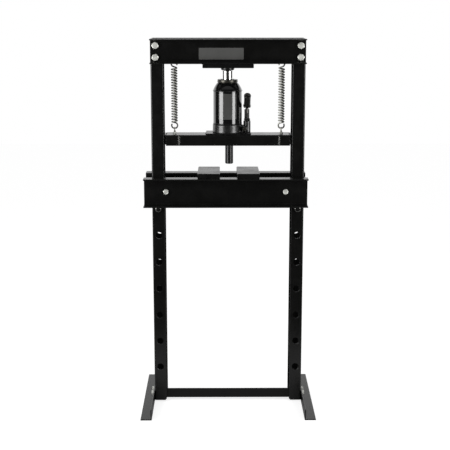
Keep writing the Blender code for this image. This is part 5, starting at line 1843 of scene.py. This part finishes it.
@dataclass
class Bed:
    """The adjustable bed: two channels, their bolts, the two pins under them and the press plates on top."""

    wall: float = 0.006
    fillet: float = 0.006
    pin_edge: float = 0.005
    pin_steps: int = 10
    plate_edge: float = 0.0017
    bolt: Fastener = Fastener(0.006, 0.019, 0.0085, 0.00175, 0.0018)

    def build(self) -> None:
        """Builds every piece of the bed."""
        for label, side in DEPTHS:
            rolled_channel(f"bed_channel_{label}", side, self.wall, self.fillet, "bed")
        for i, (label, _) in enumerate(SIDES):
            self.bolt.bolt(f"bed_bolt_{label}", Axis.Y, -1, "bed", 14 + 33 * i)
            self.bolt.nut(f"bed_nut_{label}", Axis.Y, 1, "bed", 5 + 19 * i)
            self.pin(label)
            low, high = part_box(f"press_plate_{label}")
            piece(f"press_plate_{label}_cut", block(low, high, self.plate_edge), PLATE_COAT, f"plate_{label}",
                  [f"press_plate_{label}"])

    def pin(self, label: str) -> None:
        """Builds one round pin through an upright, with rounded ends.

        Args:
            label: Which side it is on.
        """
        node = f"bed_pin_{label}"
        low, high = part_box(node)
        radius, half, edge = half_width(node), (high.y - low.y) / 2, self.pin_edge
        profile = rounded([(0, -half, 0), (radius, -half, edge), (radius, half, edge), (0, half, 0)],
                          self.pin_steps, closed=False)
        piece(f"{node}_turned", turned(profile, middle(node), Axis.Y, 72), BRIGHT_PIN, f"pin_{label}", [node])


@dataclass(frozen=True)
class Softbox:
    """One flat studio lamp."""

    name: str
    place: Triple
    target: Triple
    width: float
    height: float
    radiance: float

    def hang(self) -> None:
        """Makes the lamp, out of the camera's sight."""
        data = bpy.data.lights.new(self.name, "AREA")
        data.shape = "RECTANGLE"
        data.size, data.size_y = self.width, self.height
        data.energy = self.radiance * self.width * self.height * math.pi
        lamp = bpy.data.objects.new(self.name, data)
        lamp.location = self.place
        lamp.rotation_euler = (Vector(self.target) - Vector(self.place)).to_track_quat("-Z", "Y").to_euler()
        lamp.visible_camera = False
        bpy.context.scene.collection.objects.link(lamp)


@dataclass
class Studio:
    """The pale floor, the lamps, the world and the camera."""

    floor_low: tuple[float, float] = (-6.0, -0.8)
    floor_high: tuple[float, float] = (6.0, 8.0)
    floor_colour: Triple = (0.45, 0.45, 0.45)
    floor_glow: float = 0.76
    dark: float = 0.030
    fill: float = 0.50
    backdrop_rise: tuple[float, float, float, float] = (0.22, 0.45, 1.0, 0.55)
    backdrop_edge: tuple[float, float] = (0.26, 0.42)
    ceiling_rise: tuple[float, float] = (0.45, 0.85)
    ceiling: float = 0.25
    camera_place: Triple = (-0.033, -3.995, 1.62)
    camera_down: float = 10.944
    camera_yaw: float = -0.305
    lens: float = 79.8
    shift: float = -0.055
    lamps: tuple[Softbox, ...] = (
        Softbox("softbox_left", (-1.745, -1.339, 1.30), (0, 0, 1.20), 1.22, 1.5, 6.4),
        Softbox("softbox_right", (1.685, -1.414, 1.30), (0, 0, 1.20), 0.895, 1.5, 6.4),
    )

    def build(self) -> None:
        """Builds the studio round the press."""
        self.floor()
        self.world()
        for lamp in self.lamps:
            lamp.hang()
        self.camera()
        bpy.context.scene.view_settings.view_transform = "Standard"

    def floor(self) -> None:
        """The plain floor, which shows white but keeps soft shadows."""
        (x0, y0), (x1, y1) = self.floor_low, self.floor_high
        data = bpy.data.meshes.new("floor")
        data.from_pydata([(x0, y0, 0), (x1, y0, 0), (x1, y1, 0), (x0, y1, 0)], [], [(0, 1, 2, 3)])
        floor = bpy.data.objects.new("floor", data)
        bpy.context.scene.collection.objects.link(floor)
        material = bpy.data.materials.new("pale_floor")
        material.use_nodes = True
        sheet = Sheet(material.node_tree)
        path = sheet.add("ShaderNodeLightPath")
        glow = sheet.math("MULTIPLY", path.outputs["Is Camera Ray"], self.floor_glow)
        shader = sheet.add("ShaderNodeBsdfPrincipled", {
            "Base Color": (*self.floor_colour, 1), "Roughness": 0.9, "Specular IOR Level": 0.1,
            "Emission Color": (1, 1, 1, 1), "Emission Strength": glow,
        })
        sheet.add("ShaderNodeOutputMaterial", {"Surface": shader.outputs[0]})
        data.materials.append(material)

    def world(self) -> None:
        """White behind the press, dim in front of it, and a level fill for everything else."""
        world = bpy.data.worlds.new("studio_world")
        bpy.context.scene.world = world
        world.use_nodes = True
        sheet = Sheet(world.node_tree)
        direction = sheet.add("ShaderNodeTexCoord").outputs["Generated"]
        parts = sheet.add("ShaderNodeSeparateXYZ", {0: direction})
        backdrop = sheet.ramp(parts.outputs[2], *self.backdrop_rise)
        behind = sheet.ramp(parts.outputs[1], *self.backdrop_edge, self.dark, backdrop)
        above = sheet.ramp(parts.outputs[2], *self.ceiling_rise, self.dark, self.ceiling)
        mirrored = sheet.math("MAXIMUM", behind, above)
        path = sheet.add("ShaderNodeLightPath")
        glossy, through = path.outputs["Is Glossy Ray"], path.outputs["Is Transmission Ray"]
        seen = sheet.math("ADD", glossy, through, clamp=True)
        rest = sheet.math("MULTIPLY_ADD", seen, sheet.math("SUBTRACT", mirrored, self.fill), self.fill)
        strength = sheet.math("MAXIMUM", rest, path.outputs["Is Camera Ray"])
        shader = sheet.add("ShaderNodeBackground", {"Color": (1, 1, 1, 1), "Strength": strength})
        sheet.add("ShaderNodeOutputWorld", {"Surface": shader.outputs[0]})

    def camera(self) -> None:
        """The camera, a little above the press and level with its middle."""
        data = bpy.data.cameras.new("camera")
        data.sensor_width = 36
        data.lens = self.lens
        data.shift_y = self.shift
        camera = bpy.data.objects.new("camera", data)
        camera.location = self.camera_place
        camera.rotation_euler = (math.radians(90 - self.camera_down), 0, math.radians(self.camera_yaw))
        bpy.context.scene.collection.objects.link(camera)
        bpy.context.scene.camera = camera


def main() -> None:
    """Builds the press and its studio."""
    logging.basicConfig(level=logging.INFO, format="%(message)s")
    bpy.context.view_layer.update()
    Studio().build()
    for assembly in (PressFrame(), ReturnSprings(), Platen(), Jack(), HandPump(), Bed()):
        log.info("building %s", type(assembly).__name__)
        assembly.build()
    bpy.context.view_layer.update()


if __name__ == "__main__":
    main()
